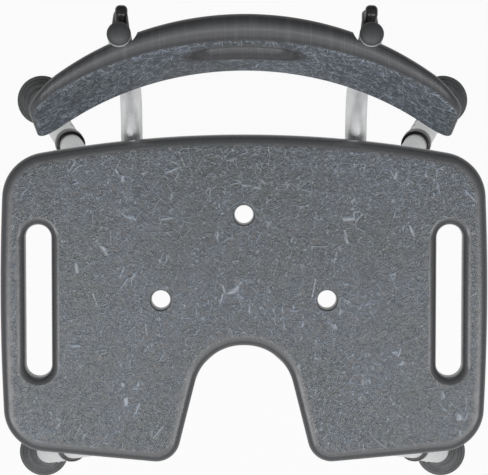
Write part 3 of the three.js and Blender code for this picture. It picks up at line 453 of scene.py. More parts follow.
def sweep(points, tangents, normals, outer, inner, sides, shape=None):
    """A hollow tube along a planar path; shape gives each station's half width, half height and rise."""
    walls = []
    for i, (p, t, n) in enumerate(zip(points, tangents, normals)):
        s = np.cross(n, t)
        for r in (outer, inner):
            wide, high, up = shape(i, r) if shape else (r, r, 0.0)
            angles = [2 * math.pi * k / sides for k in range(sides)]
            walls.append([p + s * wide * math.cos(a) + n * (high * math.sin(a) + up) for a in angles])
    faces = []
    for i in range(len(points) - 1):
        a, b = 2 * i * sides, 2 * (i + 1) * sides
        faces += band(a, b, sides)
        faces += band(b + sides, a + sides, sides)
    end = 2 * (len(points) - 1) * sides
    faces += band(sides, 0, sides)
    faces += band(end, end + sides, sides)
    return np.concatenate([np.array(w) for w in walls]), faces


def bent(lead, radius, turn, distance):
    """A straight run, one bend and a second straight run: how far along and aside, and the turn so far."""
    arc = radius * turn
    angle = min(max((distance - lead) / radius, 0.0), turn)
    beyond = max(distance - lead - arc, 0.0)
    along = min(distance, lead) + radius * math.sin(angle) + beyond * math.cos(turn)
    aside = radius * (1 - math.cos(angle)) + beyond * math.sin(turn)
    return along, aside, angle


def mark(obj, name, value_of):
    """Writes a number for every face corner, worked out from its place in mm and its face's normal."""
    mesh = obj.data
    co = np.zeros(len(mesh.vertices) * 3, np.float32)
    mesh.vertices.foreach_get("co", co)
    co = co.reshape(-1, 3).astype(float) / MM
    co[:, 1] -= SHIFT_Y
    index = np.zeros(len(mesh.loops), np.int32)
    mesh.loops.foreach_get("vertex_index", index)
    normals = np.zeros(len(mesh.polygons) * 3, np.float32)
    mesh.polygons.foreach_get("normal", normals)
    totals = np.zeros(len(mesh.polygons), np.int32)
    mesh.polygons.foreach_get("loop_total", totals)
    normal = np.repeat(normals.reshape(-1, 3).astype(float), totals, axis=0)
    values = value_of(co[index], normal).astype(np.float32)
    mesh.attributes.new(name, "FLOAT", "CORNER").data.foreach_set("value", values)


def distance_to(points, outline):
    """How far each point is from the nearest edge of the outline."""
    best = np.full(len(points), np.inf)
    for p, q in zip(outline, np.roll(outline, -1, axis=0)):
        d = q - p
        t = np.clip(((points - p) @ d) / (d @ d), 0, 1)
        best = np.minimum(best, np.linalg.norm(points - (p + t[:, None] * d), axis=1))
    return best


def eased(x, low, high):
    """Rises softly from 0 at low to 1 at high."""
    t = np.clip((x - low) / (high - low), 0, 1)
    return t * t * (3 - 2 * t)


# Materials: noise scales are per metre, widths and levels are shares of a pattern's range

NOISE_LEVELS = (0.3, 0.7)
DASH_LEVELS = (0.45, 0.58)
VEIN_LEVEL = 0.5
MIX_SHARE = 0
MIX_FIRST = 6
MIX_SECOND = 7
MIX_RESULT = 2

CLOUD_SCALE = 14.0
PATCH_SCALE = 70.0
PEBBLE_SCALE = 380.0
# Noise of the painted highlight streaks on the panel's rolls
STREAK_HIGHLIGHT_SCALE = 520.0
FINE_CREASES = {"scale": 330.0, "width": 0.080, "breaks": 170.0}
COARSE_CREASES = {"scale": 150.0, "width": 0.036, "breaks": 110.0}
LONG_CREASES = {"scale": 60.0, "width": 0.038, "breaks": 90.0}
FINE_SHARE = 0.7
COARSE_SHARE = 0.8
# Painted highlight: how much the crease lines lighten the colour, in place of the light their ridges catch
CREASE_HIGHLIGHT = 4.2
PATCH_LIGHT = (-0.14, 0.14)
PEBBLE_LIGHT = (-0.50, 0.42)
# Painted highlight: how much the colour is lightened along the mould's parting line
PARTING_HIGHLIGHT = 0.6
# Painted highlight streaks on the panel's rolls: how much they lighten, their levels and their stretch
STREAK_HIGHLIGHT = (0.0, 0.45)
STREAK_HIGHLIGHT_LEVELS = (0.5, 0.7)
STREAK_HIGHLIGHT_STRETCH = (1.0, 0.03, 0.03)
PEBBLE_HEIGHT = 0.6
PATCH_HEIGHT = 0.3
RIM_TINT = (1.0, 1.02, 1.08)
GREY_TINT = (0.97, 1.10, 1.22)
BLUE_TINT = (1.08, 1.24, 1.48)
CLOUD_LEVELS = (0.40, 0.60)
LEATHER_DEPTH = 0.0006
LEATHER_STRENGTH = 0.7

METAL_TONE_SCALE = 35.0
METAL_STREAK_SCALE = 160.0
METAL_LEVELS = (0.35, 0.7)
METAL_SHADE = 0.9
METAL_DEPTH = 0.0003
METAL_STRENGTH = 0.12
POLYMER_TONE_SCALE = 60.0
POLYMER_LEVELS = (0.35, 0.68)
POLYMER_STRENGTH = 0.4


def shaded(tone, tint):
    return tuple(tone * c for c in tint)


class Graph:
    """A node tree and short ways to add nodes to it."""

    def __init__(self, tree):
        self.nodes = tree.nodes
        self.links = tree.links

    def add(self, kind, **values):
        n = self.nodes.new(kind)
        for key, value in values.items():
            if key in n.inputs:
                n.inputs[key].default_value = value
            else:
                setattr(n, key, value)
        return n

    def feed(self, value, socket):
        """Gives a socket a plain value or links it to another socket."""
        if isinstance(value, (int, float)):
            socket.default_value = value
        elif isinstance(value, tuple):
            socket.default_value = (*value, 1.0)
        else:
            self.links.new(value, socket)

    def calc(self, operation, a, b=0.0, clamp=False):
        n = self.add("ShaderNodeMath", operation=operation, use_clamp=clamp)
        self.feed(a, n.inputs[0])
        self.feed(b, n.inputs[1])
        return n.outputs[0]

    def spread(self, source, low, high, levels=NOISE_LEVELS, curve="LINEAR"):
        """Maps the levels of a source to a range from low to high."""
        n = self.add("ShaderNodeMapRange", interpolation_type=curve)
        self.links.new(source, n.inputs["Value"])
        for key, value in zip(("From Min", "From Max", "To Min", "To Max"), (*levels, low, high)):
            n.inputs[key].default_value = value
        return n.outputs["Result"]


class Look(Graph):
    """A Principled material whose patterns lie in the object's own space."""

    def __init__(self, name):
        self.mat = bpy.data.materials.new(name)
        self.mat.use_nodes = True
        super().__init__(self.mat.node_tree)
        self.bsdf = self.nodes["Principled BSDF"]
        self.place = self.add("ShaderNodeTexCoord").outputs["Object"]

    def noise(self, scale, detail=3.0, rough=0.55, distortion=0.0, place=None):
        n = self.add("ShaderNodeTexNoise", Scale=scale, Detail=detail, Roughness=rough, Distortion=distortion)
        self.links.new(place or self.place, n.inputs["Vector"])
        return n.outputs["Fac"]

    def stretched(self, scale):
        n = self.add("ShaderNodeMapping", Scale=scale)
        self.links.new(self.place, n.inputs["Vector"])
        return n.outputs["Vector"]

    def attribute(self, name):
        return self.add("ShaderNodeAttribute", attribute_name=name).outputs["Fac"]

    def mixed(self, share, first, second):
        n = self.add("ShaderNodeMix", data_type="RGBA")
        self.links.new(share, n.inputs[MIX_SHARE])
        self.feed(first, n.inputs[MIX_FIRST])
        self.feed(second, n.inputs[MIX_SECOND])
        return n.outputs[MIX_RESULT]

    def blend(self, source, first, second, levels=NOISE_LEVELS):
        return self.mixed(self.spread(source, 0.0, 1.0, levels), first, second)

    def tint(self, colour, factor):
        n = self.add("ShaderNodeVectorMath", operation="SCALE")
        self.links.new(colour, n.inputs[0])
        self.feed(factor, n.inputs["Scale"])
        return n.outputs[0]

    def line(self, away, width):
        """1 where the distance from a line is nothing, 0 from its width on."""
        return self.calc("SUBTRACT", 1.0, self.calc("DIVIDE", away, width), clamp=True)

    def dashes(self, line, scale):
        """Breaks a pattern of lines into dashes."""
        return self.calc("MULTIPLY", line, self.spread(self.noise(scale, detail=1.0), 0.0, 1.0, DASH_LEVELS))

    def veins(self, scale, width, breaks):
        """Thin crooked dashes along one level of a noise."""
        level = self.noise(scale, detail=1.0, rough=0.5, distortion=0.5)
        away = self.calc("ABSOLUTE", self.calc("SUBTRACT", level, VEIN_LEVEL))
        return self.dashes(self.line(away, width), breaks)

    def folds(self, scale, width, breaks):
        """Thin straighter dashes along the borders of a cell pattern."""
        cells = self.add("ShaderNodeTexVoronoi", feature="DISTANCE_TO_EDGE", Scale=scale)
        self.links.new(self.place, cells.inputs["Vector"])
        return self.dashes(self.line(cells.outputs["Distance"], width), breaks)

    def finish(self, colour, roughness, height, distance, strength):
        bump = self.add("ShaderNodeBump", Strength=strength, Distance=distance)
        self.links.new(height, bump.inputs["Height"])
        self.links.new(bump.outputs["Normal"], self.bsdf.inputs["Normal"])
        self.links.new(colour, self.bsdf.inputs["Base Color"])
        self.links.new(roughness, self.bsdf.inputs["Roughness"])
        return self.mat


def creases(look):
    """Fine and coarse veins and long folds, the strongest of the three at each place."""
    fine = look.calc("MULTIPLY", look.veins(**FINE_CREASES), FINE_SHARE)
    coarse = look.calc("MULTIPLY", look.veins(**COARSE_CREASES), COARSE_SHARE)
    return look.calc("MAXIMUM", fine, look.calc("MAXIMUM", coarse, look.folds(**LONG_CREASES)))


def moulded_plastic(name, rim_tone, grain_tone, stretch, gloss):
    """Slate-grey plastic: leather-like creases where the grain mark is 1, smooth rims where it is 0; the
    crease lines are lightened as painted highlights on their ridges, and painted highlight streaks and a
    painted highlight line go where their marks are set.
    """
    look = Look(name)
    look.place = look.stretched(stretch)
    grain = look.attribute("grain")
    cloud = look.noise(CLOUD_SCALE, detail=2.0)
    patch = look.noise(PATCH_SCALE, detail=3.0)
    pebble = look.noise(PEBBLE_SCALE, detail=2.0)
    # Noise for the painted highlight streaks on the rolls
    streak = look.noise(STREAK_HIGHLIGHT_SCALE, detail=2.0, place=look.stretched(STREAK_HIGHLIGHT_STRETCH))
    lines = creases(look)

    textured = look.blend(cloud, shaded(grain_tone, GREY_TINT), shaded(grain_tone, BLUE_TINT), CLOUD_LEVELS)
    colour = look.mixed(grain, shaded(rim_tone, RIM_TINT), textured)

    mottle = look.calc("ADD", look.spread(patch, *PATCH_LIGHT), look.spread(pebble, *PEBBLE_LIGHT))
    # The crease lines lighten the colour as painted highlights on their ridges; the mottle added to them is
    # random tone
    crease_highlights_and_mottle = look.calc("ADD", look.calc("MULTIPLY", lines, CREASE_HIGHLIGHT), mottle)
    grain_highlights_and_mottle = look.calc("MULTIPLY", crease_highlights_and_mottle, grain)
    # A painted highlight along the mould's parting line
    parting_highlight = look.calc("MULTIPLY", look.attribute("parting_highlight"), PARTING_HIGHLIGHT)
    # Painted highlight streaks on the rolls, standing in for reflections
    streak_highlights = look.calc("MULTIPLY", look.spread(streak, *STREAK_HIGHLIGHT, STREAK_HIGHLIGHT_LEVELS), look.attribute("streak_highlights"))
    light = look.calc("ADD", look.calc("ADD", grain_highlights_and_mottle, parting_highlight), streak_highlights)

    height = look.calc("ADD", look.calc("MULTIPLY", pebble, PEBBLE_HEIGHT), lines)
    swell = look.calc("MULTIPLY", patch, PATCH_HEIGHT)
    height = look.calc("ADD", look.calc("MULTIPLY", height, grain), swell)

    tinted = look.tint(colour, look.calc("ADD", light, 1.0))
    return look.finish(tinted, look.spread(patch, *gloss), height, LEATHER_DEPTH, LEATHER_STRENGTH)


def satin_metal(name, colour, gloss, metallic, brushed):
    """Metal with fine marks along its length; the last number of brushed is how thin they are."""
    look = Look(name)
    along = look.stretched((1.0, 1.0, brushed))
    streak = look.noise(METAL_STREAK_SCALE, detail=4.0, rough=0.6, place=along)
    tone = look.blend(look.noise(METAL_TONE_SCALE), shaded(METAL_SHADE, colour), colour, METAL_LEVELS)
    look.bsdf.inputs["Metallic"].default_value = metallic
    return look.finish(tone, look.spread(streak, *gloss), streak, METAL_DEPTH, METAL_STRENGTH)


def dull_polymer(name, dark, light, gloss, speckle, depth):
    """Plastic or rubber with a fine dull speckle."""
    look = Look(name)
    speck = look.noise(speckle, detail=4.0, rough=0.6)
    tone = look.blend(look.noise(POLYMER_TONE_SCALE), dark, light, POLYMER_LEVELS)
    return look.finish(tone, look.spread(speck, *gloss), speck, depth, POLYMER_STRENGTH)


seat_plastic = moulded_plastic(
    "seat_plastic", rim_tone=0.060, grain_tone=0.038, stretch=(1.0, 1.0, 1.0), gloss=(0.24, 0.32))
back_plastic = moulded_plastic(
    "back_plastic", rim_tone=0.036, grain_tone=0.052, stretch=(1.0, 1.0, 0.5), gloss=(0.36, 0.46))
aluminium = satin_metal(
    "satin_aluminium", colour=(0.82, 0.825, 0.83), gloss=(0.38, 0.48), metallic=0.6, brushed=14.0)
steel = satin_metal(
    "zinc_steel", colour=(0.58, 0.59, 0.60), gloss=(0.25, 0.42), metallic=1.0, brushed=1.0)
brass = satin_metal(
    "turned_brass", colour=(0.55, 0.40, 0.16), gloss=(0.28, 0.4), metallic=1.0, brushed=6.0)
black = dull_polymer(
    "black_polymer", dark=(0.010, 0.010, 0.011), light=(0.018, 0.018, 0.019), gloss=(0.28, 0.42),
    speckle=700.0, depth=0.0002)
matt = dull_polymer(
    "matt_cap", dark=(0.030, 0.032, 0.033), light=(0.042, 0.044, 0.045), gloss=(0.50, 0.66),
    speckle=900.0, depth=0.0002)
rubber = dull_polymer(
    "foot_rubber", dark=(0.060, 0.063, 0.064), light=(0.088, 0.091, 0.092), gloss=(0.50, 0.70),
    speckle=900.0, depth=0.0003)


def put(obj, mat, body, slot, *nodes):
    """Gives a piece its material and its body, and hides the CAD nodes that it stands for; slot is not used.
    """
    obj.data.materials.clear()
    obj.data.materials.append(mat)
    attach(obj, body)
    if nodes:
        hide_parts(*nodes)


# Seat

def make_seat():
    outline = rounded(mirrored(SEAT_HALF_OUTLINE))
    verts, faces = plate(outline, SEAT_THICK, SEAT_RIM, SEAT_RIM_STEPS, SEAT_BAND)
    verts[:, 2] += SEAT_BOTTOM
    seat = build("seat", [(verts, faces)])
    cutters = []
    slot = rounded_over(SEAT_BOTTOM, SEAT_TOP, SLOT_UNDER, SLOT_DISH, SEAT_LIP_STEPS)
    for _, side in SIDES:
        cutters.append(slot_cutter(SLOT_RADIUS, SLOT_HALF_STRAIGHT, slot,
                                   lambda a, c, d, x=side * SLOT_X: (x - c, SLOT_Y + a, d)))
    drain = rounded_over(SEAT_BOTTOM, SEAT_TOP, DRAIN_FLARE, DRAIN_FLARE)
    for x, y in DRAIN_PLACES:
        cutters.append(slot_cutter(DRAIN_RADIUS, 0.0, drain,
                                   lambda a, c, d, x=x, y=y: (x - c, y + a, d), DRAIN_STEPS))
    cut(seat, cutters)

    def grain(co, normal):
        """The flat of the top, without the smooth band along its edge."""
        flat = (normal[:, 2] > LEVEL_FACE) & (co[:, 2] > SEAT_TOP - LEVEL_REACH)
        out = np.zeros(len(co))
        out[flat] = distance_to(co[flat][:, :2], outline) > SEAT_RIM + SEAT_BAND / 2
        return out

    mark(seat, "grain", grain)
    put(seat, seat_plastic, "frame", "seat_plastic", "seat_panel")


# Back panel

def tube_point(x, z):
    """Where the upper run of a back tube is at the given height."""
    return np.array([x, BACK_CORNER_Y + (z - BACK_TUBE_Z) * math.tan(RECLINE), z])


def panel_rear(x, z):
    """The Y of the panel's rear, which curves round the sitter."""
    return tube_point(x, z)[1] + PANEL_BEHIND_TUBE + math.sqrt(PANEL_ARC ** 2 - x ** 2) - PANEL_ARC


def panel_depth(x, z):
    """The panel gets thinner toward its ends, most of all at the top."""
    up = (z - PANEL_BOTTOM) / PANEL_HEIGHT
    thin = PANEL_THIN_BOTTOM + (PANEL_THIN_TOP - PANEL_THIN_BOTTOM) * up
    return PANEL_THICK - thin * (x / PANEL_HALF) ** 2


def roll_inset(depth):
    """How far the outline has drawn in, sideways and in height, at a depth in front of the rear."""
    for (side, back, drop), d in ((PANEL_REAR_ROLL, depth), (PANEL_FRONT_ROLL, PANEL_THICK - depth)):
        if d < back:
            share = 1 - math.sqrt(1 - ((back - d) / back) ** 2)
            return side * share, drop * share
    return 0.0, 0.0


def roll_start(reach, roll):
    """The depth at which a roll's outline comes as near to the end as reach."""
    side, back, _ = roll
    if reach >= side:
        return 0.0
    return back * (1 - math.sqrt(1 - (1 - reach / side) ** 2))


def panel_edge(u):
    """(depth, drawn in from the top edge) at width u, from the rear to the front."""
    reach = PANEL_HALF - abs(u)
    first = roll_start(reach, PANEL_REAR_ROLL)
    last = PANEL_THICK - roll_start(reach, PANEL_FRONT_ROLL)
    beyond = max(abs(u) - (PANEL_HALF - PANEL_CORNER), 0.0)
    edge = []
    for k in range(PANEL_ROLL_STEPS + 1):
        depth = first + (last - first) * (1 - math.cos(math.pi * k / PANEL_ROLL_STEPS)) / 2
        side, drop = roll_inset(depth)
        share = math.sqrt(max(0.0, 1 - (beyond / (PANEL_CORNER - side)) ** 2))
        edge.append((depth, PANEL_CORNER - (PANEL_CORNER - drop) * share))
    return edge


def panel_section(u):
    """The closed section at width u: over the top, down the front, along the bottom and up the rear."""
    edge = panel_edge(u)
    (first, rear_inset), (last, front_inset) = edge[0], edge[-1]
    loop = [(depth, PANEL_HEIGHT - low) for depth, low in edge]
    for k in range(1, PANEL_WALL_STEPS):
        down = (PANEL_HEIGHT - 2 * front_inset) * k / PANEL_WALL_STEPS
        loop.append((last, PANEL_HEIGHT - front_inset - down))
    loop += [(depth, low) for depth, low in reversed(edge)]
    for k in range(1, PANEL_WALL_STEPS):
        loop.append((first, rear_inset + (PANEL_HEIGHT - 2 * rear_inset) * k / PANEL_WALL_STEPS))
    ring = []
    for depth, low in loop:
        z = PANEL_BOTTOM + low
        ring.append((u, panel_rear(u, z) - panel_depth(u, z) * depth / PANEL_THICK, z))
    return ring


def panel_stations():
    """Widths of the sections, close together where the ends round off."""
    inside = PANEL_HALF - PANEL_END_WIDTH
    outer = [PANEL_HALF - PANEL_END_WIDTH * (k / PANEL_END_STEPS) ** 2 for k in range(PANEL_END_STEPS + 1)]
    inner = [inside * (1 - 2 * k / PANEL_MIDDLE_STEPS) for k in range(1, PANEL_MIDDLE_STEPS)]
    return outer + inner + [-u for u in reversed(outer)]


def panel_slot():
    """Cutter of the carrying slot, with rounded lips at the front and the rear."""
    lips = rounded_over(0.0, PANEL_THICK, PANEL_SLOT_LIP, PANEL_SLOT_LIP)

    def place(a, c, d):
        z = PANEL_SLOT_Z + c
        return (a, panel_rear(a, z) - d, z)

    return slot_cutter(PANEL_SLOT_RADIUS, PANEL_SLOT_HALF, lips, place, side=PANEL_SLOT_SIDE_STEPS)


def panel_channel(side, radius, behind):
    """Cutter along one back tube."""
    low = -PANEL_HEIGHT - PANEL_THICK
    at = tube_point(side * BACK_X, PANEL_TOP) + np.array([0.0, behind, 0.0])
    rod = [(0, low), (radius, low), (radius, PANEL_THICK), (0, PANEL_THICK)]
    return lathe(rod, TUBE_SIDES, basis(at, ALONG_BACK, RIGHT))


def panel_grain(co, normal):
    """The front face, without its rolls and the slot's lip."""
    across = co[:, 0] / PANEL_ARC
    facing = -(normal[:, 0] * across + normal[:, 1] * np.sqrt(1 - across ** 2))
    hole = np.hypot(np.maximum(np.abs(co[:, 0]) - PANEL_SLOT_HALF, 0), co[:, 2] - PANEL_SLOT_Z)
    lip = PANEL_SLOT_RADIUS + PANEL_SLOT_LIP[0]
    return eased(facing, *GRAIN_FACING) * eased(hole, lip + GRAIN_FROM_LIP[0], lip + GRAIN_FROM_LIP[1])


def panel_streak_highlights(co, normal):
    """Where the painted highlight streaks lie: the rolls along the top and the bottom."""
    return eased(np.abs(normal[:, 2]), *STREAK_HIGHLIGHT_FACING) * (1 - panel_grain(co, normal))


def panel_parting_highlight(co, normal):
    """Painted highlight along the line where the mould's halves met, along the rear roll and toward the ends,
    in place of the light a raised bead there would catch.
    """
    rear = np.array([panel_rear(x, z) - y for x, y, z in co])
    line = PANEL_REAR_ROLL[1] * np.array([panel_depth(x, z) for x, _, z in co]) / PANEL_THICK
    near = np.clip(1 - np.abs(rear - line * PARTING_DEPTH) / PARTING_WIDTH, 0, 1)
    return near * eased(np.abs(co[:, 0]), *PARTING_FADE_X)


def make_panel():
    panel = build("back_rest", [stacked([panel_section(u) for u in panel_stations()])])
    cutters = [panel_slot()]
    for _, side in SIDES:
        cutters.append(panel_channel(side, BACK_OUTER + CHANNEL_GAP, 0.0))
        cutters.append(panel_channel(side, CHANNEL_LIP_RADIUS, CHANNEL_LIP_BEHIND))
    cut(panel, cutters, PANEL_SHARP_ANGLE)
    mark(panel, "grain", panel_grain)
    # The mark of the painted highlight streaks on the rolls
    mark(panel, "streak_highlights", panel_streak_highlights)
    # The mark of the painted highlight along the mould's parting line
    mark(panel, "parting_highlight", panel_parting_highlight)
    put(panel, back_plastic, "frame", "seat_plastic", "back_panel")


# Crossed tubes

def make_cross_tube(name, turn, rise, node):
    """One bent tube; it is flattened where it passes over or under the other one."""
    heading = np.array([math.cos(CROSS_ANGLE), turn * math.sin(CROSS_ANGLE), 0.0])
    leg_turn = math.pi / 2 - LEG_SPLAY
    tangent = CROSS_BEND * math.tan(leg_turn / 2)
    lead = CROSS_CORNER - tangent
    arc = CROSS_BEND * leg_turn
    taper = FLAT_END - FLAT_HALF_LENGTH
    half = [0.0, FLAT_HALF_LENGTH / 2]
    half += [FLAT_HALF_LENGTH + taper * k / FLATTENING_STEPS for k in range(FLATTENING_STEPS + 1)]
    half += [lead + arc * k / CROSS_BEND_STEPS for k in range(CROSS_BEND_STEPS + 1)]
    half.append(lead + arc + UPPER_LEG - tangent)
    stations = [-s for s in reversed(half[1:])] + half
    points, tangents, normals = [], [], []
    for s in stations:
        end = -1.0 if s < 0 else 1.0
        along, aside, angle = bent(lead, CROSS_BEND, leg_turn, abs(s))
        points.append(CROSSING + heading * end * along - UP * aside)
        tangents.append(heading * math.cos(angle) - UP * end * math.sin(angle))
        normals.append(heading * end * math.sin(angle) + UP * math.cos(angle))

    def shape(i, r):
        flat = 1 - float(eased(abs(stations[i]), FLAT_HALF_LENGTH, FLAT_END))
        wall = CROSS_OUTER - r
        wide = r + (FLAT_HALF_WIDTH - wall - r) * flat
        high = r + (FLAT_HALF_HEIGHT - wall - r) * flat
        return wide, high, FLAT_RISE * rise * flat

    tube = sweep(points, tangents, normals, CROSS_OUTER, CROSS_OUTER - CROSS_WALL, CROSS_SIDES, shape)
    put(build(name, [tube]), aluminium, "frame", "tube_aluminium", node)


# Legs

def make_lower_tube(name, start, down, button):
    profile = ring_profile(LOWER_OUTER, LOWER_OUTER - LOWER_WALL, LOWER_TOP, LOWER_END, LOWER_EDGE)
    tube = build(f"lower_tube_{name}", [lathe(profile, TUBE_SIDES, basis(start, down, button))])
    drill = [(0, DRILL_START), (HOLE_RADIUS, DRILL_START), (HOLE_RADIUS, DRILL_END), (0, DRILL_END)]
    holes = []
    for step in range(HOLE_COUNT):
        at = start + down * (PIN_AT - HOLE_PITCH * step)
        holes.append(lathe(drill, PIN_SIDES, basis(at, button, down)))
    cut(tube, holes)
    put(tube, aluminium, f"leg_{name}", "tube_aluminium", f"leg_tube_{name}")


def collar_profile():
    """The mouth fits the upper leg, and the skirt covers the top of the lower tube."""
    top = LOWER_TOP - COLLAR_ABOVE
    bottom = top + COLLAR_LENGTH
    step = LOWER_TOP - GAP
    wider, deeper = COLLAR_MOUTH
    points = [(OVER_UPPER_LEG + wider, top), (OVER_UPPER_LEG, top + deeper), (OVER_UPPER_LEG, step)]
    points += [(OVER_LOWER_LEG, step), (OVER_LOWER_LEG, bottom)]
    points += [(COLLAR_OUTER - side, bottom - along) for side, along in COLLAR_SKIRT_ROUND]
    points += [(COLLAR_OUTER - side, top + along) for side, along in COLLAR_LIP_ROUND]
    return points[:1] + points[::-1]


def make_collar(name, start, down, button):
    collar = build(f"collar_{name}", [lathe(collar_profile(), TUBE_SIDES, basis(start, down, button))])
    put(collar, black, f"leg_{name}", "black_plastic", f"leg_collar_{name}")


def socket_profile():
    """The foot's sleeve on the lower tube, with one groove round it."""
    low = (CROSS_Z - SOCKET_LOW_Z) / math.cos(LEG_SPLAY)
    high = (CROSS_Z - SOCKET_HIGH_Z) / math.cos(LEG_SPLAY)
    points = [(OVER_LOWER_LEG, high + SOCKET_EDGE), (OVER_LOWER_LEG + SOCKET_EDGE, high)]
    points += [(SOCKET_OUTER - side, high + along) for side, along in SOCKET_LIP_ROUND + SOCKET_GROOVE]
    points += [(SOCKET_OUTER, low), (OVER_LOWER_LEG, low)]
    return points[:1] + points[::-1]


def make_foot(name, start, down, button):
    centre = start + down * ((CROSS_Z - FOOT_CENTRE_Z) / math.cos(LEG_SPLAY))
    base = lathe(FOOT_PROFILE, FOOT_SIDES, basis((centre[0], centre[1], 0), UP, RIGHT))
    socket = lathe(socket_profile(), TUBE_SIDES, basis(start, down, button))
    put(build(f"shoe_{name}", [base, socket]), rubber, f"leg_{name}", "foot_rubber", f"foot_{name}")


def pin_profile():
    """A snap button: a flange inside the tube and a domed pin through its wall."""
    under = PIN_FLANGE_TOP - PIN_FLANGE_THICK
    dome_base = PIN_TIP - PIN_DOME
    base = [(0, under), (PIN_FLANGE_RADIUS, under), (PIN_FLANGE_RADIUS, PIN_FLANGE_TOP)]
    base += [(PIN_RADIUS, PIN_FLANGE_TOP), (PIN_RADIUS, dome_base)]
    return base + dome(PIN_RADIUS, dome_base, PIN_DOME, PIN_DOME_STEPS)


def make_leg_pin(name, start, down, button):
    pin = lathe(pin_profile(), PIN_SIDES, basis(start + down * PIN_AT, button, down))
    put(build(f"leg_pin_{name}", [pin]), steel, f"button_leg_{name}", "steel", f"leg_button_{name}")


def make_leg(name, x, y):
    """The four pieces of a leg, on the line from the crossed tube's corner down to the foot."""
    out = np.array([x * math.cos(CROSS_ANGLE), y * math.sin(CROSS_ANGLE), 0.0])
    down = out * math.sin(LEG_SPLAY) - UP * math.cos(LEG_SPLAY)
    button = np.array([-x * math.sin(CROSS_ANGLE), y * math.cos(CROSS_ANGLE), 0.0])
    start = out * CROSS_CORNER + CROSSING
    for make in (make_lower_tube, make_collar, make_foot, make_leg_pin):
        make(name, start, down, button)


# Back tubes, their caps and the wing screws

def make_back_tube(name, side):
    turn = math.pi / 2 - RECLINE
    tangent = BACK_BEND * math.tan(turn / 2)
    lead = BACK_CORNER_Y - BACK_START_Y - tangent
    arc = BACK_BEND * turn
    stations = [0.0] + [lead + arc * k / BACK_BEND_STEPS for k in range(BACK_BEND_STEPS + 1)]
    stations.append(lead + arc + (BACK_TUBE_TOP - BACK_TUBE_Z) / math.cos(RECLINE) - tangent)
    points, tangents, normals = [], [], []
    for s in stations:
        along, aside, angle = bent(lead, BACK_BEND, turn, s)
        points.append(np.array([side * BACK_X, BACK_START_Y + along, BACK_TUBE_Z + aside]))
        tangents.append(np.array([0, math.cos(angle), math.sin(angle)]))
        normals.append(np.array([0, -math.sin(angle), math.cos(angle)]))
    tube = sweep(points, tangents, normals, BACK_OUTER, BACK_OUTER - BACK_WALL, TUBE_SIDES)
    put(build(f"bent_tube_{name}", [tube]), aluminium, "frame", "tube_aluminium", f"back_tube_{name}")


def make_cap(name, side):
    """A plug in the tube, a brim on its end and a dome on top."""
    narrower, higher = CAP_PLUG_EDGE
    profile = [(0, -CAP_PLUG_LENGTH), (CAP_PLUG_RADIUS - narrower, -CAP_PLUG_LENGTH)]
    profile += [(CAP_PLUG_RADIUS, higher - CAP_PLUG_LENGTH), (CAP_PLUG_RADIUS, GAP)]
    profile += [(CAP_RADIUS - inward, up) for inward, up in CAP_BRIM_ROUND]
    profile += dome(CAP_RADIUS, CAP_DOME_BASE, CAP_DOME_HEIGHT, CAP_DOME_STEPS)
    m = basis(tube_point(side * BACK_X, BACK_TUBE_TOP), ALONG_BACK, RIGHT)
    cap = build(f"dome_cap_{name}", [lathe(profile, TUBE_SIDES, m)])
    put(cap, matt, "frame", "black_plastic", f"tube_cap_{name}")


def make_knob(name, side):
    """A tapered hub with two wings, behind the back tube."""
    m = basis(tube_point(side * BACK_X, PANEL_TOP - KNOB_DROP), BEHIND_BACK, RIGHT)
    hub = lathe([(r, KNOB_SEAT + height) for r, height in HUB_PROFILE], HUB_SIDES, m)
    outline = rounded(mirrored(WING_HALF_OUTLINE), WING_WIDEST_STEP)
    verts, faces = plate(outline, WING_THICK, WING_RIM, WING_RIM_STEPS)
    wide, through, high = verts[:, 0], WING_THICK / 2 - verts[:, 2], verts[:, 1]
    turn = math.pi / 2 + KNOB_TILT
    c, s = math.cos(turn), math.sin(turn)
    wing = np.stack([c * wide - s * through, s * wide + c * through, high + KNOB_SEAT], 1)
    knob = build(f"wing_knob_{name}", [hub, (moved(m, wing), faces)])
    put(knob, black, f"knob_{name}", "black_plastic", f"knob_wing_{name}")


make_seat()
make_panel()
make_cross_tube("cross_tube_over", 1, 1, "cross_tube_a")
make_cross_tube("cross_tube_under", -1, -1, "cross_tube_b")
for leg in LEGS:
    make_leg(*leg)
for back_side in SIDES:
    make_back_tube(*back_side)
    make_cap(*back_side)
    make_knob(*back_side)

# The other CAD nodes keep their shapes and take the same procedural finishes
LOOKS = {
    "tube_aluminium": aluminium, "black_plastic": black, "foot_rubber": rubber,
    "steel": steel, "brass": brass, "seat_plastic": seat_plastic,
}
slot_of = {part["node"]: part["material_slot"] for part in frame["record"]["subparts"]}
for node_name, node_object in frame["nodes"].items():
    if not node_object.hide_render:
        node_object.data.materials.clear()
        node_object.data.materials.append(LOOKS[slot_of[node_name]])


# Floor, light and camera: the camera's place is in millimetres and the other lengths are in metres

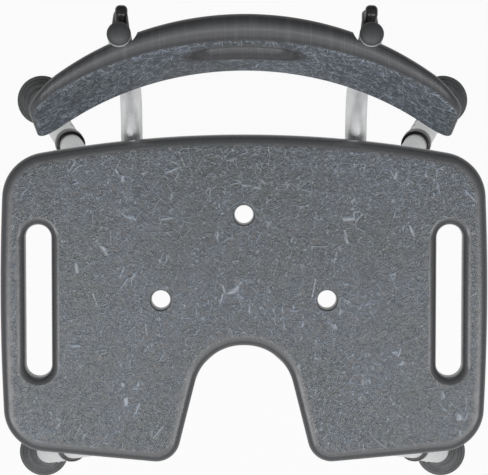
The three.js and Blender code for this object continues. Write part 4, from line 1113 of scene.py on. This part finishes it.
FLOOR_HALF = 6.0
FLOOR_DROP = 0.0005
FLOOR_DARK = (0.34, 0.34, 0.34)
FLOOR_PALE = (0.38, 0.38, 0.38)
FLOOR_SEEN = 0.95
FLOOR_REFLECTED = 0.70
FLOOR_TONE_SCALE = 3.0
WORLD_COLOUR = (0.97, 0.98, 1.0, 1.0)
HEIGHT_LIGHT = (0.30, 0.55)
HEIGHT_LEVELS = (0.0, 0.8)
OVERHEAD_LIGHT = (1.0, 0.30)
OVERHEAD_LEVELS = (0.86, 0.97)
BEHIND_LIGHT = (1.0, 0.30)
BEHIND_LEVELS = (0.05, 0.50)
STRIP_X = 1.25
STRIP_Y = -0.7
STRIP_Z = 3.1
STRIP_TARGET_X = 0.1
STRIP_TARGET_Y = -0.4
STRIP_SIZE = (0.7, 2.4)
STRIP_POWER = {"left": 46.0, "right": 40.0}
FRONT_PLACE = (0.0, -0.95, 1.6)
FRONT_TARGET_Y = -0.1
FRONT_SIZE = (1.6, 0.7)
FRONT_POWER = 6.0
TARGET_Z = 0.4
FOCAL_PIXELS = 2830.0
IMAGE_PIXELS = 488.0
SENSOR_WIDTH = 36.0
CAMERA_REACH = 50.0
CAMERA_PITCH = math.radians(4.776)
CAMERA_SIDEWAYS = 0.00414
CAMERA_X = -12.0
CAMERA_Y = 306.17
CAMERA_Z = 3319.83


def make_floor():
    """A pale floor: white to the camera, somewhat dimmer in reflections, dull as a source of light."""
    mesh = bpy.data.meshes.new("floor")
    corners = [(-1, -1), (1, -1), (1, 1), (-1, 1)]
    mesh.from_pydata([(x * FLOOR_HALF, y * FLOOR_HALF, -FLOOR_DROP) for x, y in corners], [], [[0, 1, 2, 3]])
    floor = bpy.data.objects.new("floor", mesh)
    scene.collection.objects.link(floor)
    look = Look("pale_floor")
    look.nodes.remove(look.bsdf)
    diffuse = look.add("ShaderNodeBsdfDiffuse")
    tone = look.blend(look.noise(FLOOR_TONE_SCALE), FLOOR_DARK, FLOOR_PALE)
    look.links.new(tone, diffuse.inputs["Color"])
    glow = look.add("ShaderNodeEmission", Strength=1.0)
    path = look.add("ShaderNodeLightPath")
    seen = look.calc("MULTIPLY", path.outputs["Is Camera Ray"], FLOOR_SEEN)
    reflected = look.calc("MULTIPLY", path.outputs["Is Glossy Ray"], FLOOR_REFLECTED)
    mix = look.add("ShaderNodeMixShader")
    look.links.new(look.calc("ADD", seen, reflected), mix.inputs["Fac"])
    look.links.new(diffuse.outputs[0], mix.inputs[1])
    look.links.new(glow.outputs[0], mix.inputs[2])
    look.links.new(mix.outputs[0], look.nodes["Material Output"].inputs["Surface"])
    mesh.materials.append(look.mat)


def make_world():
    """Brightest halfway up, dimmer at the horizon, overhead and behind the chair, white to the camera."""
    world = bpy.data.worlds.new("soft_room")
    scene.world = world
    world.use_nodes = True
    sky = Graph(world.node_tree)
    split = sky.add("ShaderNodeSeparateXYZ")
    sky.links.new(sky.add("ShaderNodeTexCoord").outputs["Generated"], split.inputs[0])
    upward, rearward = split.outputs["Z"], split.outputs["Y"]
    height = sky.spread(upward, *HEIGHT_LIGHT, HEIGHT_LEVELS, "SMOOTHSTEP")
    overhead = sky.spread(upward, *OVERHEAD_LIGHT, OVERHEAD_LEVELS, "SMOOTHSTEP")
    behind = sky.spread(rearward, *BEHIND_LIGHT, BEHIND_LEVELS, "SMOOTHSTEP")
    lit = sky.calc("MULTIPLY", sky.calc("MULTIPLY", height, overhead), behind)
    seen = sky.add("ShaderNodeLightPath").outputs["Is Camera Ray"]
    background = sky.nodes["Background"]
    background.inputs["Color"].default_value = WORLD_COLOUR
    sky.links.new(sky.calc("MAXIMUM", lit, seen), background.inputs["Strength"])


def area_light(name, place, target, size, power):
    data = bpy.data.lights.new(name, "AREA")
    data.shape = "RECTANGLE"
    data.size, data.size_y = size
    data.energy = power
    obj = bpy.data.objects.new(name, data)
    scene.collection.objects.link(obj)
    obj.location = place
    obj.rotation_euler = (Vector(target) - Vector(place)).to_track_quat("-Z", "Y").to_euler()


def make_lights():
    """A long strip high on each side and a weak lamp in front."""
    for name, side in SIDES:
        place = (side * STRIP_X, STRIP_Y, STRIP_Z)
        target = (side * STRIP_TARGET_X, STRIP_TARGET_Y, TARGET_Z)
        area_light(f"{name}_strip", place, target, STRIP_SIZE, STRIP_POWER[name])
    area_light("front", FRONT_PLACE, (0.0, FRONT_TARGET_Y, TARGET_Z), FRONT_SIZE, FRONT_POWER)


def make_camera():
    """High above the chair and nearly straight down, as the photograph was taken."""
    data = bpy.data.cameras.new("camera")
    data.sensor_fit = "HORIZONTAL"
    data.sensor_width = SENSOR_WIDTH
    data.lens = FOCAL_PIXELS / IMAGE_PIXELS * SENSOR_WIDTH
    data.clip_end = CAMERA_REACH
    eye = bpy.data.objects.new("camera", data)
    scene.collection.objects.link(eye)
    forward = Vector((CAMERA_SIDEWAYS, -math.sin(CAMERA_PITCH), -math.cos(CAMERA_PITCH))).normalized()
    right = forward.cross(Vector((0, 1, 0))).normalized()
    up = right.cross(forward)
    eye.matrix_world = Matrix((right, up, -forward)).transposed().to_4x4()
    eye.matrix_world.translation = Vector((CAMERA_X * MM, (CAMERA_Y + SHIFT_Y) * MM, CAMERA_Z * MM))
    scene.camera = eye


make_floor()
make_world()
make_lights()
make_camera()
scene.view_settings.view_transform = "Standard"
